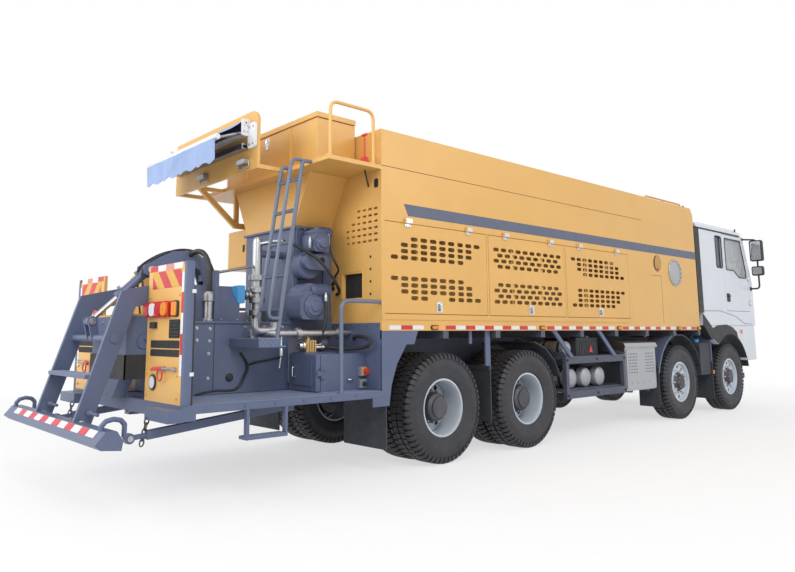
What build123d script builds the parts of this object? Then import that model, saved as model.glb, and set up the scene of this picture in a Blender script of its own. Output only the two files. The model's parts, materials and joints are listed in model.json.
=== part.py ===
"""Slurry seal paving truck: an 8x4 road truck with an aggregate body, a mixer and a rear working deck.

Millimetres. +X is forward, +Y is the left side and +Z is up. The origin lies on the ground
under the middle of the truck's length and width.
"""
import math
import os

from build123d import *

# Wheelbase and overhangs
REAR_OVERHANG = 3450
TANDEM_BASE = 1400
MIDDLE_BASE = 3775
STEER_BASE = 1800
FRONT_OVERHANG = 1400
LENGTH = REAR_OVERHANG + TANDEM_BASE + MIDDLE_BASE + STEER_BASE + FRONT_OVERHANG
X_REAR = -LENGTH / 2
X_FRONT = LENGTH / 2
AXLE_4 = X_REAR + REAR_OVERHANG
AXLE_3 = AXLE_4 + TANDEM_BASE
AXLE_2 = AXLE_3 + MIDDLE_BASE
AXLE_1 = AXLE_2 + STEER_BASE
HALF_WIDTH = 1250

# Facets: sides of a turned form, of a bar and of a bent tube, and straight steps in a bend
FLATS = 24
BAR_SIDES = 12
TUBE_SIDES = 8
BEND_STEPS = 3
SEAT_GAP = 0.3

# Wheels
TYRE_R = 550
TYRE_W = 300
TREAD_W = 236
SHOULDER_R = 512
RIM_R = 290
RIM_WALL = 26
RIM_W = 220
DISC_T = 16
HUB_R = 140
DRUM_R = 200
HAND_HOLES = 10
FRONT_WHEEL_Y = 1065
REAR_WHEEL_Y = 890
TWIN_SPACING = 340
BEARING_GAP = 0.5

# Axles and steering
KINGPIN_Y = 860
KINGPIN_R = 25
PIN_GAP = 0.5
EYE_R = 55
EYE_H = 120
ARM_GAP = 5
SPINDLE_R = 45
BEAM_T = 100
BEAM_Z = 430
BEAM_H = 100
REAR_SPINDLE_R = 80
HOUSING = 180

# Chassis frame
RAIL_Y = 430
RAIL_FLANGE = 90
RAIL_T = 10
RAIL_BOTTOM = 760
RAIL_H = 300
RAIL_TOP = RAIL_BOTTOM + RAIL_H
SUBFRAME_H = 180
SUBFRAME_TOP = RAIL_TOP + SUBFRAME_H
SUBFRAME_W = 80
BEARER_W = 80
BEARER_H = 80
BEARERS = 9
FRAME_REAR = AXLE_4 - 900
FRAME_FRONT = AXLE_1 + 1080

# Aggregate body and water tank
BODY_BOTTOM = SUBFRAME_TOP + BEARER_H
BODY_H = 1950
BODY_TOP = BODY_BOTTOM + BODY_H
BODY_REAR = AXLE_4 - 890
BODY_FRONT = BODY_REAR + 6730
WALL = 40
TANK_REAR = AXLE_4 + 3740
TANK_KNEE_H = 750
TANK_KNEE_Z = BODY_BOTTOM + TANK_KNEE_H
TANK_LEAN = 570
HATCH_SILL = 165
HATCH_H = 880
HATCH_BOTTOM = BODY_BOTTOM + HATCH_SILL
HATCH_TOP = HATCH_BOTTOM + HATCH_H
HATCH_T = 30
HATCH_GAP = 6
HATCH_STARTS = (-850, 680, 2170)
HATCH_ENDS = (640, 2130, 3680)
COAMING_DROP = 365
COAMING_Z = BODY_TOP - COAMING_DROP

# Rear deck
DECK_TOP = 770
DECK_T = 60
DECK_REAR = AXLE_4 - 2830
DECK_INNER_Y = 460
MIXER_Y = 500
MIXER_H = 640
MIXER_TOP = DECK_TOP + MIXER_H
PLATFORM_TOP = COAMING_Z
PLATFORM_T = 40
PLATFORM_REAR = AXLE_4 - 1520

# Cab
CAB_REAR = BODY_FRONT + 130
CAB_HALF = HALF_WIDTH - 5
CAB_WALL = 50
CAB_BOTTOM = 1400
CAB_H = 1730
CAB_ROOF = CAB_BOTTOM + CAB_H
DOOR_W = 1000
DOOR_FRONT = AXLE_1 + 955
DOOR_REAR = DOOR_FRONT - DOOR_W
DOOR_SILL = 250
DOOR_HEAD = 170
DOOR_BOTTOM = CAB_BOTTOM + DOOR_SILL
DOOR_TOP = CAB_ROOF - DOOR_HEAD
WAIST_H = 680
WAIST_Z = DOOR_BOTTOM + WAIST_H
DOOR_GAP = 6
GLASS_T = 8


def box(x0, x1, y0, y1, z0, z1):
    """A block between two corners."""
    return Pos((x0 + x1) / 2, (y0 + y1) / 2, (z0 + z1) / 2) * Box(x1 - x0, y1 - y0, z1 - z0)


def face_of(points):
    """A flat face from corner points."""
    return make_face(Polyline(*points, close=True))


def prism_x(points, x0, x1):
    """A (y, z) outline drawn out along X."""
    plane = Plane(origin=(x0, 0, 0), x_dir=(0, 1, 0), z_dir=(1, 0, 0))
    return extrude(plane * face_of(points), x1 - x0)


def prism_y(points, y0, y1):
    """An (x, z) outline drawn out along Y."""
    plane = Plane(origin=(0, y1, 0), x_dir=(1, 0, 0), z_dir=(0, -1, 0))
    return extrude(plane * face_of(points), y1 - y0)


def prism_z(points, z0, z1):
    """An (x, y) outline drawn out along Z."""
    return extrude(Plane((0, 0, z0)) * face_of(points), z1 - z0)


def bar(start, end, radius, sides=BAR_SIDES, on_flats=False):
    """A bar between two points, with the radius at its corners or, where it says so, at its flats."""
    path = Vector(end) - Vector(start)
    outline = RegularPolygon(radius, sides, major_radius=not on_flats)
    return extrude(Plane(Vector(start), z_dir=path) * outline, path.length)


def bend_points(before, corner, after, bend):
    """Points round a corner on a bend radius, from tangent to tangent."""
    back = (before - corner).normalized()
    ahead = (after - corner).normalized()
    half = math.radians(back.get_angle(ahead)) / 2
    centre = corner + (back + ahead).normalized() * (bend / math.sin(half))
    spoke = corner + back * (bend / math.tan(half)) - centre
    axis = Axis((0, 0, 0), ahead.cross(back))
    sweep_deg = 180 - math.degrees(2 * half)
    return [centre + spoke.rotate(axis, sweep_deg * n / BEND_STEPS) for n in range(BEND_STEPS + 1)]


def tube_run(points, bend, radius):
    """A bar along a path, its corners turned in short straight steps round a bend radius."""
    corners = [Vector(point) for point in points]
    line = [corners[0]]
    for before, corner, after in zip(corners, corners[1:], corners[2:]):
        line.extend(bend_points(before, corner, after, bend))
    line.append(corners[-1])
    path = Polyline(*line)
    profile = Plane(path @ 0, z_dir=path % 0) * RegularPolygon(radius, TUBE_SIDES)
    return sweep(profile, path, transition=Transition.RIGHT)


def joined(pieces):
    """All pieces as one solid."""
    return Part() + list(pieces)


def flipped(shape):
    """The same piece on the other side."""
    return shape.mirror(Plane.XZ)


def both_sides(shape):
    """A piece and its mirror image."""
    return [shape, flipped(shape)]


def along(points, x):
    """Outline points moved along X."""
    return [(px + x, pz) for px, pz in points]


# Hinges

HINGE_OFF = 17
HINGE_R = 11
HINGE_PIN_R = 7
HINGE_PLAY = 0.5
HINGE_END_GAP = 0.5
HINGE_LEAF = 45
KNUCKLE_H = 50
LUG_H = 22


def eight_sided(radius, z0, z1, across_flats):
    """An eight-sided post about the Z axis."""
    return extrude(Plane((0, 0, z0)) * RegularPolygon(radius, 8, major_radius=not across_flats), z1 - z0)


def hinge_halves():
    """Fixed and moving halves of a hinge about the Z axis, with the fixed leaf towards +X."""
    half = KNUCKLE_H / 2
    near = half + HINGE_END_GAP
    far = near + LUG_H
    fixed = [eight_sided(HINGE_PIN_R, -far, far, False)]
    for z0 in (near, -far):
        fixed.append(eight_sided(HINGE_R, z0, z0 + LUG_H, False))
        fixed.append(box(0, HINGE_LEAF, -HINGE_OFF, 0, z0, z0 + LUG_H))
    moving = eight_sided(HINGE_R, -half, half, False)
    moving += box(-HINGE_LEAF, 0, -HINGE_OFF, 0, -half, half)
    moving -= eight_sided(HINGE_PIN_R + HINGE_PLAY, -half - 1, half + 1, True)
    return joined(fixed), moving


FIXED_HALF, MOVING_HALF = hinge_halves()


def hatch_hinges(half, start, end):
    """One half of each of a left hatch's two hinges."""
    span = end - start
    pieces = []
    for share in (0.2, 0.8):
        place = Plane(
            origin=(AXLE_4 + start + share * span, HALF_WIDTH + HINGE_OFF, HATCH_TOP + HATCH_GAP / 2),
            x_dir=(0, 0, 1), z_dir=(-1, 0, 0),
        )
        pieces.append(place * half)
    return pieces


def door_hinges(half):
    """One half of each of the left cab door's two hinges."""
    x = DOOR_FRONT + DOOR_GAP / 2
    return [Pos(x, CAB_HALF + HINGE_OFF, z) * half for z in (DOOR_BOTTOM + 150, WAIST_Z - 90)]


# Wheels


def turned(stations):
    """A turned form about the Y axis through (radius, y) stations, with FLATS flats round it."""
    rings = []
    for radius, y in stations:
        corner = radius / math.cos(math.pi / FLATS)
        angles = [math.pi * (2 * n + 1) / FLATS for n in range(FLATS)]
        rings.append([(corner * math.cos(a), y, corner * math.sin(a)) for a in angles])
    outlines = [rings[0], rings[-1]]
    for ring, following in zip(rings, rings[1:]):
        for n in range(FLATS):
            outlines.append([ring[n - 1], ring[n], following[n], following[n - 1]])
    return Solid(Shell([Face(Wire.make_polygon(outline)) for outline in outlines]))


def tyre():
    """One tyre about the origin."""
    outer = turned([
        (SHOULDER_R, -TYRE_W / 2),
        (TYRE_R, -TREAD_W / 2),
        (TYRE_R, TREAD_W / 2),
        (SHOULDER_R, TYRE_W / 2),
    ])
    return outer - turned([(RIM_R, -TYRE_W), (RIM_R, TYRE_W)])


def front_rim():
    """A single wheel with its hub and brake drum, outer side towards +Y."""
    inner_r = RIM_R - RIM_WALL
    edge = RIM_W / 2
    disc_y = edge - 35
    barrel = turned([(RIM_R, -edge), (RIM_R, edge)])
    barrel -= turned([(inner_r, -edge - 1), (inner_r, disc_y - DISC_T)])
    barrel -= turned([(inner_r, disc_y), (inner_r, edge + 1)])
    hub = turned([(HUB_R, disc_y), (HUB_R - 15, disc_y + 25), (80, disc_y + 30), (70, disc_y + 70)])
    drum = turned([(DRUM_R, -edge + 15), (DRUM_R, disc_y - DISC_T)])
    bore = turned([(SPINDLE_R + BEARING_GAP, -edge), (SPINDLE_R + BEARING_GAP, 40)])
    hole_r = (inner_r + DRUM_R) / 2
    holes = []
    for turn in range(HAND_HOLES):
        hole = Pos(hole_r, disc_y - DISC_T / 2, 0) * Rot(90, 0, 0) * extrude(RegularPolygon(24, 6), DISC_T, both=True)
        holes.append(Rot(0, 360 / HAND_HOLES * turn, 0) * hole)
    return barrel + hub + drum - bore - holes


def rear_rim():
    """A pair of wheels on one hub, outer side towards +Y."""
    inner_r = RIM_R - RIM_WALL
    edge = TWIN_SPACING / 2 + RIM_W / 2
    half_disc = DISC_T
    barrel = turned([(RIM_R, -edge), (RIM_R, edge)])
    barrel -= turned([(inner_r, -edge - 1), (inner_r, -half_disc)])
    barrel -= turned([(inner_r, half_disc), (inner_r, edge + 1)])
    hub = turned([(HUB_R + 20, half_disc), (HUB_R, 120), (120, 190), (95, 240)])
    drum = turned([(DRUM_R, -edge + 50), (DRUM_R, -half_disc)])
    bore_r = REAR_SPINDLE_R + BEARING_GAP
    bore = turned([(bore_r, -edge), (bore_r, -60)])
    return barrel + hub + drum - bore


def twin_tyres():
    """The two tyres of a twin wheel."""
    one = tyre()
    return Compound([Pos(0, TWIN_SPACING / 2, 0) * one, Pos(0, -TWIN_SPACING / 2, 0) * one])


def knuckle():
    """A left steering knuckle at the kingpin, with its pin and spindle."""
    top = EYE_H / 2 + ARM_GAP
    arm_h = 60
    arms = []
    for z0 in (top, -top - arm_h):
        arms.append(box(-50, 50, -50, 95, z0, z0 + arm_h))
    back = box(-60, 60, 65, 95, -top - arm_h, top + arm_h)
    pin = bar((0, 0, -top - arm_h), (0, 0, top + arm_h), KINGPIN_R, FLATS)
    spindle = bar((0, 90, 0), (0, FRONT_WHEEL_Y - KINGPIN_Y + 30, 0), SPINDLE_R)
    return joined([*arms, back, pin, spindle])


# Running gear


def front_axle(x):
    """A drop beam with its kingpin eyes and leaf springs."""
    top = BEAM_Z + BEAM_H
    half = [(0, BEAM_Z), (500, BEAM_Z), (700, 500), (815, 500), (815, 600), (680, 600), (480, top), (0, top)]
    beam = prism_x(half, x - BEAM_T / 2, x + BEAM_T / 2)
    eye = bar((x, KINGPIN_Y, TYRE_R - EYE_H / 2), (x, KINGPIN_Y, TYRE_R + EYE_H / 2), EYE_R)
    hole = bar((x, KINGPIN_Y, 0), (x, KINGPIN_Y, 2 * TYRE_R), KINGPIN_R + PIN_GAP, FLATS, on_flats=True)
    leaf = [
        (-800, 668), (-400, 585), (-100, top), (100, top), (400, 585), (800, 668),
        (800, 690), (400, 640), (100, 640), (-100, 640), (-400, 640), (-800, 690),
    ]
    spring = prism_y(along(leaf, x), RAIL_Y - 80, RAIL_Y)
    side = beam + eye - hole + spring
    return side + flipped(side)


def rear_bogie():
    """Both rear axles with the leaf packs that join them."""
    pieces = []
    half = HOUSING / 2
    for x in (AXLE_4, AXLE_3):
        pieces.append(box(x - half, x + half, -640, 640, TYRE_R - half, TYRE_R + half))
        pieces.append(bar((x, -815, TYRE_R), (x, 815, TYRE_R), REAR_SPINDLE_R))
        pot = turned([(120, -230), (210, -90), (210, 90), (120, 230)])
        pieces.append(Pos(x, 0, TYRE_R) * pot)
    pad = TYRE_R + half
    mid = TANDEM_BASE / 2
    leaf = [
        (-mid - 110, pad), (-mid + 110, pad), (-200, pad - 20), (200, pad - 20), (mid - 110, pad), (mid + 110, pad),
    ]
    upper = [
        (mid + 110, pad + 24), (mid - 110, pad + 45), (200, pad + 95), (-200, pad + 95),
        (-mid + 110, pad + 45), (-mid - 110, pad + 24),
    ]
    spring = prism_y(along(leaf + upper, AXLE_4 + mid), RAIL_Y + 10, RAIL_Y + 110)
    return joined(pieces + both_sides(spring))


def axles():
    """Every axle, with the springs it carries."""
    return Compound([front_axle(AXLE_1), front_axle(AXLE_2), rear_bogie()])


def chassis_frame():
    """Rails and cross-members, with the subframe, cross-bearers and air-tank rack seated on them."""
    inner = RAIL_Y - RAIL_T
    lip = RAIL_Y - RAIL_FLANGE
    channel = [
        (RAIL_Y, RAIL_BOTTOM), (RAIL_Y, RAIL_TOP), (lip, RAIL_TOP), (lip, RAIL_TOP - RAIL_T),
        (inner, RAIL_TOP - RAIL_T), (inner, RAIL_BOTTOM + RAIL_T), (lip, RAIL_BOTTOM + RAIL_T), (lip, RAIL_BOTTOM),
    ]
    side = [prism_x(channel, FRAME_REAR, FRAME_FRONT)]
    saddle_x = AXLE_4 + TANDEM_BASE / 2
    saddle_top = TYRE_R + HOUSING / 2 - 20
    side.append(box(saddle_x - 100, saddle_x + 100, RAIL_Y - 80, RAIL_Y, 500, RAIL_BOTTOM))
    side.append(box(saddle_x - 80, saddle_x + 80, RAIL_Y, RAIL_Y + 115, 500, saddle_top))
    for axle in (AXLE_1, AXLE_2):
        for end in (-780, 780):
            side.append(box(axle + end - 40, axle + end + 40, RAIL_Y - 80, RAIL_Y, 690, RAIL_BOTTOM))
    pieces = []
    for piece in side:
        pieces.extend(both_sides(piece))
    for x in (-840, 700, 2300, 4150, 6000, 7900):
        pieces.append(box(AXLE_4 + x - 40, AXLE_4 + x + 40, -inner, inner, 850, 970))
    frame = joined(pieces + tank_ledges() + [front_bar()])
    runner = box(BODY_REAR, BODY_FRONT, RAIL_Y - SUBFRAME_W, RAIL_Y, RAIL_TOP + SEAT_GAP, SUBFRAME_TOP)
    return Compound([frame, *both_sides(runner), *cross_bearers(), tank_rack()])


def cross_bearers():
    """The bearers across the subframe that carry the body."""
    half = HALF_WIDTH - 5
    pitch = (BODY_FRONT - BODY_REAR - BEARER_W) / (BEARERS - 1)
    starts = [BODY_REAR + n * pitch for n in range(BEARERS)]
    return [box(x, x + BEARER_W, -half, half, SUBFRAME_TOP + SEAT_GAP, BODY_BOTTOM) for x in starts]


RACK_REAR = AXLE_4 + 2150
RACK_FRONT = AXLE_4 + 3560
RACK_OUT = HALF_WIDTH - 45
RACK_IN = RACK_OUT - 55
RACK_BOTTOM = 490
RACK_TOP = 1000
SHELF_TOP = 600
BOX_REAR = AXLE_4 + 3610
BOX_FRONT = AXLE_4 + 4430
BOX_BOTTOM = 500
BOX_TOP = 1105
FUEL_REAR = AXLE_4 + 2150
FUEL_FRONT = AXLE_4 + 3900
FUEL_BOTTOM = 520
FUEL_TOP = 1090


def tank_rack():
    """The right rack for the air tanks, hung from the subframe."""
    inner = -RAIL_Y - SEAT_GAP
    hanger = [
        (inner, SUBFRAME_TOP - 10), (inner, SUBFRAME_TOP - 110), (-RACK_IN, RACK_TOP - 15), (-RACK_IN, RACK_BOTTOM),
        (-RACK_OUT, RACK_BOTTOM), (-RACK_OUT, RACK_TOP + 10),
    ]
    pieces = []
    for x in (RACK_REAR, RACK_FRONT - 60):
        pieces.append(prism_x(hanger, x, x + 60))
    pieces.append(box(RACK_REAR, RACK_FRONT, -RACK_OUT, -RACK_IN, RACK_BOTTOM, RACK_BOTTOM + 90))
    pieces.append(box(RACK_REAR, RACK_FRONT, -RACK_OUT, -RACK_IN, RACK_TOP - 90, RACK_TOP))
    pieces.append(box(RACK_REAR, RACK_FRONT, -RACK_IN, -560, SHELF_TOP - 30, SHELF_TOP))
    pieces.append(box(RACK_REAR, RACK_FRONT, -RACK_IN, -650, RACK_TOP - 30, RACK_TOP))
    return joined(pieces)


def tank_ledges():
    """The ledges of the exhaust box and the fuel tank on the frame rails."""
    pieces = []
    for x in (BOX_REAR + 150, BOX_FRONT - 210):
        pieces.append(box(x, x + 60, -RAIL_Y - 40, -RAIL_Y, BOX_BOTTOM - 30, RAIL_TOP))
        pieces.append(box(x, x + 60, -1150, -RAIL_Y, BOX_BOTTOM - 30, BOX_BOTTOM))
    for x in (FUEL_REAR + 250, FUEL_FRONT - 310):
        pieces.append(box(x, x + 60, RAIL_Y, RAIL_Y + 40, FUEL_BOTTOM - 40, RAIL_TOP))
        pieces.append(box(x, x + 60, RAIL_Y, 1150, FUEL_BOTTOM - 40, FUEL_BOTTOM))
    return pieces


TOW_R = 20
TOW_LUG_T = 30
TOW_X = FRAME_FRONT + 100
TOW_Z = 500


def front_bar():
    """The underrun bar below the front bumper, with the towing lug."""
    cross = box(FRAME_FRONT - 60, FRAME_FRONT + 40, 245 - CAB_HALF, CAB_HALF - 245, 470, 560)
    legs = both_sides(box(FRAME_FRONT - 60, FRAME_FRONT, RAIL_Y - 80, RAIL_Y, 560, RAIL_BOTTOM))
    lug = box(FRAME_FRONT, TOW_X + 50, -60, 60, TOW_Z - TOW_LUG_T / 2, TOW_Z + TOW_LUG_T / 2)
    lug -= Pos(TOW_X, 0, TOW_Z) * Cylinder(TOW_R, 2 * TOW_LUG_T)
    return joined([cross, *legs, lug])


def engine():
    """The engine as one block between the rails, on four feet."""
    x0 = AXLE_1 - 700
    x1 = AXLE_1 + 550
    block = box(x0, x1, -320, 320, 700, 1240)
    feet = []
    for x in (x0 + 150, x1 - 250):
        feet.extend(both_sides(box(x, x + 100, 300, RAIL_Y - 10, RAIL_TOP, RAIL_TOP + 40)))
    return joined([block, *feet])


AIR_TANK_R = 125


def side_tanks():
    """Air tanks and exhaust box on the right, fuel tank on the left."""
    pieces = []
    for n in range(3):
        x = RACK_REAR + 250 + n * 330
        z = SHELF_TOP + AIR_TANK_R
        tank = turned([(70, -1140), (AIR_TANK_R, -1095), (AIR_TANK_R, -640), (70, -595)])
        pieces.append(Pos(x, 0, z) * tank)
    upper = turned([(60, -1130), (95, -1095), (95, -740), (60, -700)])
    pieces.append(Pos(RACK_REAR + 190, 0, RACK_TOP + 95) * upper)
    pieces.append(box(BOX_REAR, BOX_FRONT, -1200, -RAIL_Y - 45, BOX_BOTTOM, BOX_TOP))
    fuel = box(FUEL_REAR, FUEL_FRONT, RAIL_Y + 45, 1200, FUEL_BOTTOM, FUEL_TOP)
    pieces.append(fillet(fuel.edges().filter_by(Axis.X), 90))
    return Compound(pieces)


WING_OUT = HALF_WIDTH - 35
WING_IN = WING_OUT - 315
STEER_WING_R = 700
DRIVE_WING_R = 640
WING_T = 16


def arc_band(x, radius, start, end, step):
    """An (x, z) band WING_T thick round a wheel centre, between two angles."""
    angles = [math.radians(a) for a in range(start, end + 1, step)]
    outer = [(x + (radius + WING_T) * math.cos(a), TYRE_R + (radius + WING_T) * math.sin(a)) for a in angles]
    inner = [(x + radius * math.cos(a), TYRE_R + radius * math.sin(a)) for a in reversed(angles)]
    return outer + inner


def flap(x, y_in, z0, z1, bar_z):
    """A rubber flap on a bar that reaches the frame rail."""
    sheet = box(x - 8, x + 8, y_in, WING_OUT, z0, bar_z)
    hanger = box(x - 20, x + 20, RAIL_Y, WING_OUT, bar_z, bar_z + 40)
    foot = box(x - 20, x + 20, RAIL_Y, RAIL_Y + 60, bar_z, z1)
    return joined([sheet, hanger, foot])


def mudguards():
    """Wings and flaps on both sides, with the battery and the urea tank on the right."""
    top = TYRE_R + STEER_WING_R
    steer_wing = prism_y(arc_band(AXLE_2, STEER_WING_R, 20, 160, 20), WING_IN, WING_OUT)
    steer_wing += box(AXLE_2 - 30, AXLE_2 + 30, RAIL_Y, WING_IN + 40, top - 35, top)
    drive_wing = prism_y(arc_band(AXLE_3, DRIVE_WING_R, 20, 80, 20), REAR_WHEEL_Y - 300, WING_OUT)
    drive_top = TYRE_R + DRIVE_WING_R * math.sin(math.radians(80))
    wing_x = AXLE_3 + DRIVE_WING_R * math.cos(math.radians(80))
    drive_wing += box(wing_x, wing_x + 60, RAIL_Y, REAR_WHEEL_Y - 290, drive_top - 40, drive_top)
    left = [
        steer_wing,
        drive_wing,
        flap(AXLE_4 - 810, REAR_WHEEL_Y - 300, 230, 900, 640),
        flap(AXLE_4 + TANDEM_BASE / 2, REAR_WHEEL_Y - 300, 350, 960, 900),
        flap(AXLE_2 - 715, WING_IN, 230, 830, 780),
        flap(AXLE_1 - 710, WING_IN, 230, 830, 780),
    ]
    pieces = []
    for piece in left:
        pieces.extend(both_sides(piece))
    pieces.append(box(RACK_REAR + 330, RACK_REAR + 830, -1140, -660, RACK_TOP, 1225))
    urea_rear = AXLE_2 + 695
    urea = box(urea_rear, urea_rear + 360, -1200, -700, 620, 1120)
    urea = fillet(urea.edges().filter_by(Axis.Y), 50)
    arm = box(urea_rear + 120, urea_rear + 240, -700, -RAIL_Y, 800, 900)
    cap = bar((urea_rear + 100, -1100, 1120), (urea_rear + 100, -1100, 1160), 45)
    pieces.append(joined([urea, arm, cap]))
    return Compound(pieces)


# Aggregate body


def body_shell():
    """Side walls with hatch openings and the rear wall, one welding."""
    outline = [
        (BODY_REAR, BODY_BOTTOM), (TANK_REAR, BODY_BOTTOM), (TANK_REAR, TANK_KNEE_Z),
        (TANK_REAR + TANK_LEAN, BODY_TOP), (BODY_REAR, BODY_TOP),
    ]
    side = prism_y(outline, HALF_WIDTH - WALL, HALF_WIDTH)
    for start, end in zip(HATCH_STARTS, HATCH_ENDS):
        side -= box(
            AXLE_4 + start - HATCH_GAP, AXLE_4 + end + HATCH_GAP, HALF_WIDTH - 2 * WALL, HALF_WIDTH + WALL,
            HATCH_BOTTOM - HATCH_GAP, HATCH_TOP + HATCH_GAP,
        )
    rear = box(BODY_REAR, BODY_REAR + WALL, -HALF_WIDTH, HALF_WIDTH, BODY_BOTTOM, BODY_TOP)
    rear -= box(BODY_REAR - 1, BODY_REAR + WALL + 1, -440, 440, BODY_BOTTOM - 1, HOOD_BOTTOM - 35)
    rear -= box(
        BODY_REAR - 1, BODY_REAR + WALL + 1, 290 - HALF_WIDTH, 590 - HALF_WIDTH,
        BODY_BOTTOM + 320, BODY_BOTTOM + 560,
    )
    rear -= vent_slots()
    for start, end in zip(HATCH_STARTS, HATCH_ENDS):
        side = joined([side, *hatch_hinges(FIXED_HALF, start, end)])
    return joined([*both_sides(side), rear])


VENT_ROWS = (4, 4, 5, 6, 6, 6)
VENT_L = 55
VENT_H = 20
VENT_PITCH = 85
VENT_ROW_PITCH = 62
VENT_FIRST_Y = 60 - HALF_WIDTH
VENT_TOP_H = 1185


def vent_slots():
    """Cutters for the vent slots on the right of the rear wall, one stepped group."""
    cutters = []
    for row, count in enumerate(VENT_ROWS):
        z = BODY_BOTTOM + VENT_TOP_H - row * VENT_ROW_PITCH
        for n in range(count):
            y = VENT_FIRST_Y + n * VENT_PITCH
            cutters.append(box(BODY_REAR - 1, BODY_REAR + WALL + 1, y, y + VENT_L, z - VENT_H, z))
    return cutters


SLOPE_T = 20
BED_Y = 420
BED_H = 150
BED_TOP = BODY_BOTTOM + BED_H


def hopper_slopes():
    """The two sloped floors of the hopper and the belt bed between them."""
    high = HALF_WIDTH - WALL
    top = COAMING_Z - 5
    low = BED_TOP - 10
    slope = [(high, top), (high, top - 2 * SLOPE_T), (BED_Y + 25, low), (BED_Y + 5, low), (BED_Y + 5, low + 30)]
    left = prism_x(slope, BODY_REAR + WALL, TANK_REAR)
    bed = box(BODY_REAR - 250, TANK_REAR, -BED_Y, BED_Y, BODY_BOTTOM, BED_TOP)
    return Compound([*both_sides(left), bed])


TANK_WALL = 20


def water_tank():
    """The water and emulsion tank that closes the front of the hopper."""
    outline = [
        (TANK_REAR, BODY_BOTTOM), (BODY_FRONT, BODY_BOTTOM), (BODY_FRONT, BODY_TOP - 110),
        (BODY_FRONT - 75, BODY_TOP), (TANK_REAR + TANK_LEAN, BODY_TOP), (TANK_REAR, TANK_KNEE_Z),
    ]
    inside = [
        (TANK_REAR + TANK_WALL, BODY_BOTTOM + TANK_WALL), (BODY_FRONT - TANK_WALL, BODY_BOTTOM + TANK_WALL),
        (BODY_FRONT - TANK_WALL, BODY_TOP - 120), (BODY_FRONT - 90, BODY_TOP - TANK_WALL),
        (TANK_REAR + TANK_LEAN + TANK_WALL, BODY_TOP - TANK_WALL), (TANK_REAR + TANK_WALL, TANK_KNEE_Z + 10),
    ]
    tank = prism_y(outline, -HALF_WIDTH, HALF_WIDTH)
    tank -= prism_y(inside, TANK_WALL - HALF_WIDTH, HALF_WIDTH - TANK_WALL)
    tank -= box(TANK_REAR + 900, TANK_REAR + 1100, -100, 100, BODY_BOTTOM - 1, BODY_BOTTOM + TANK_WALL + 1)
    return tank


SLOT_L = 95
SLOT_H = 35
SLOT_PITCH = 133
SLOT_ROW_PITCH = 62.5
SLOT_FIRST = (-726, 812, 2333)
SLOT_TOPS = (150, 543)

# Rows of each hatch's two slot groups, from the top, as (first place, number of slots)
SLOT_ROWS = (
    (((2, 8), (1, 8), (1, 8), (0, 8)), ((0, 8), (1, 8), (1, 8), (2, 2), (6, 4))),
    (((0, 10), (0.5, 9), (0, 10), (0.5, 9)), ((0.5, 9), (0, 10), (0.5, 9), (0, 10))),
    (((0, 8), (1, 8), (1, 8), (2, 8)), ((1, 9), (1, 8), (1, 8), (0, 8))),
)


def hatch_slots(number):
    """Cutters for a left hatch's air slots, two neighbours to a cut."""
    cutters = []
    for top, rows in zip(SLOT_TOPS, SLOT_ROWS[number]):
        for row, (first, count) in enumerate(rows):
            z = HATCH_TOP - top - min(row, 3) * SLOT_ROW_PITCH
            for n in range(0, count, 2):
                x = AXLE_4 + SLOT_FIRST[number] + (first + n) * SLOT_PITCH - SLOT_L / 2
                length = SLOT_L + SLOT_PITCH * min(1, count - 1 - n)
                y = HALF_WIDTH - HATCH_T - 1
                cutters.append(box(x, x + length, y, y + HATCH_T + 2, z - SLOT_H / 2, z + SLOT_H / 2))
    return cutters


def hatch(number):
    """A left side hatch with its air slots."""
    start = HATCH_STARTS[number]
    end = HATCH_ENDS[number]
    panel = box(AXLE_4 + start, AXLE_4 + end, HALF_WIDTH - HATCH_T, HALF_WIDTH, HATCH_BOTTOM, HATCH_TOP)
    panel -= hatch_slots(number)
    return joined([panel, *hatch_hinges(MOVING_HALF, start, end)])


# Upper platform and awning

HOOD_REAR = AXLE_4 - 1350
HOOD_H = 500
HOOD_BOTTOM = PLATFORM_TOP - PLATFORM_T - HOOD_H
HOOD_LOW_Y = 460
HOOD_HIGH_Y = 720
HOOD_T = 15
BOARD_X = AXLE_4 - 1800
BOARD_RIGHT = -530
BOARD_H = 545
BOARD_TOP = PLATFORM_TOP + BOARD_H
GUSSET_Y = 735
GUSSET_Z = HOOD_BOTTOM + 115
RAIL_X = AXLE_4 - 1490
GUARD_RAIL_H = 515
RAIL_TOP_Z = PLATFORM_TOP + GUARD_RAIL_H
ROOF_RAIL_H = 75
TUBE_R = 19


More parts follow.
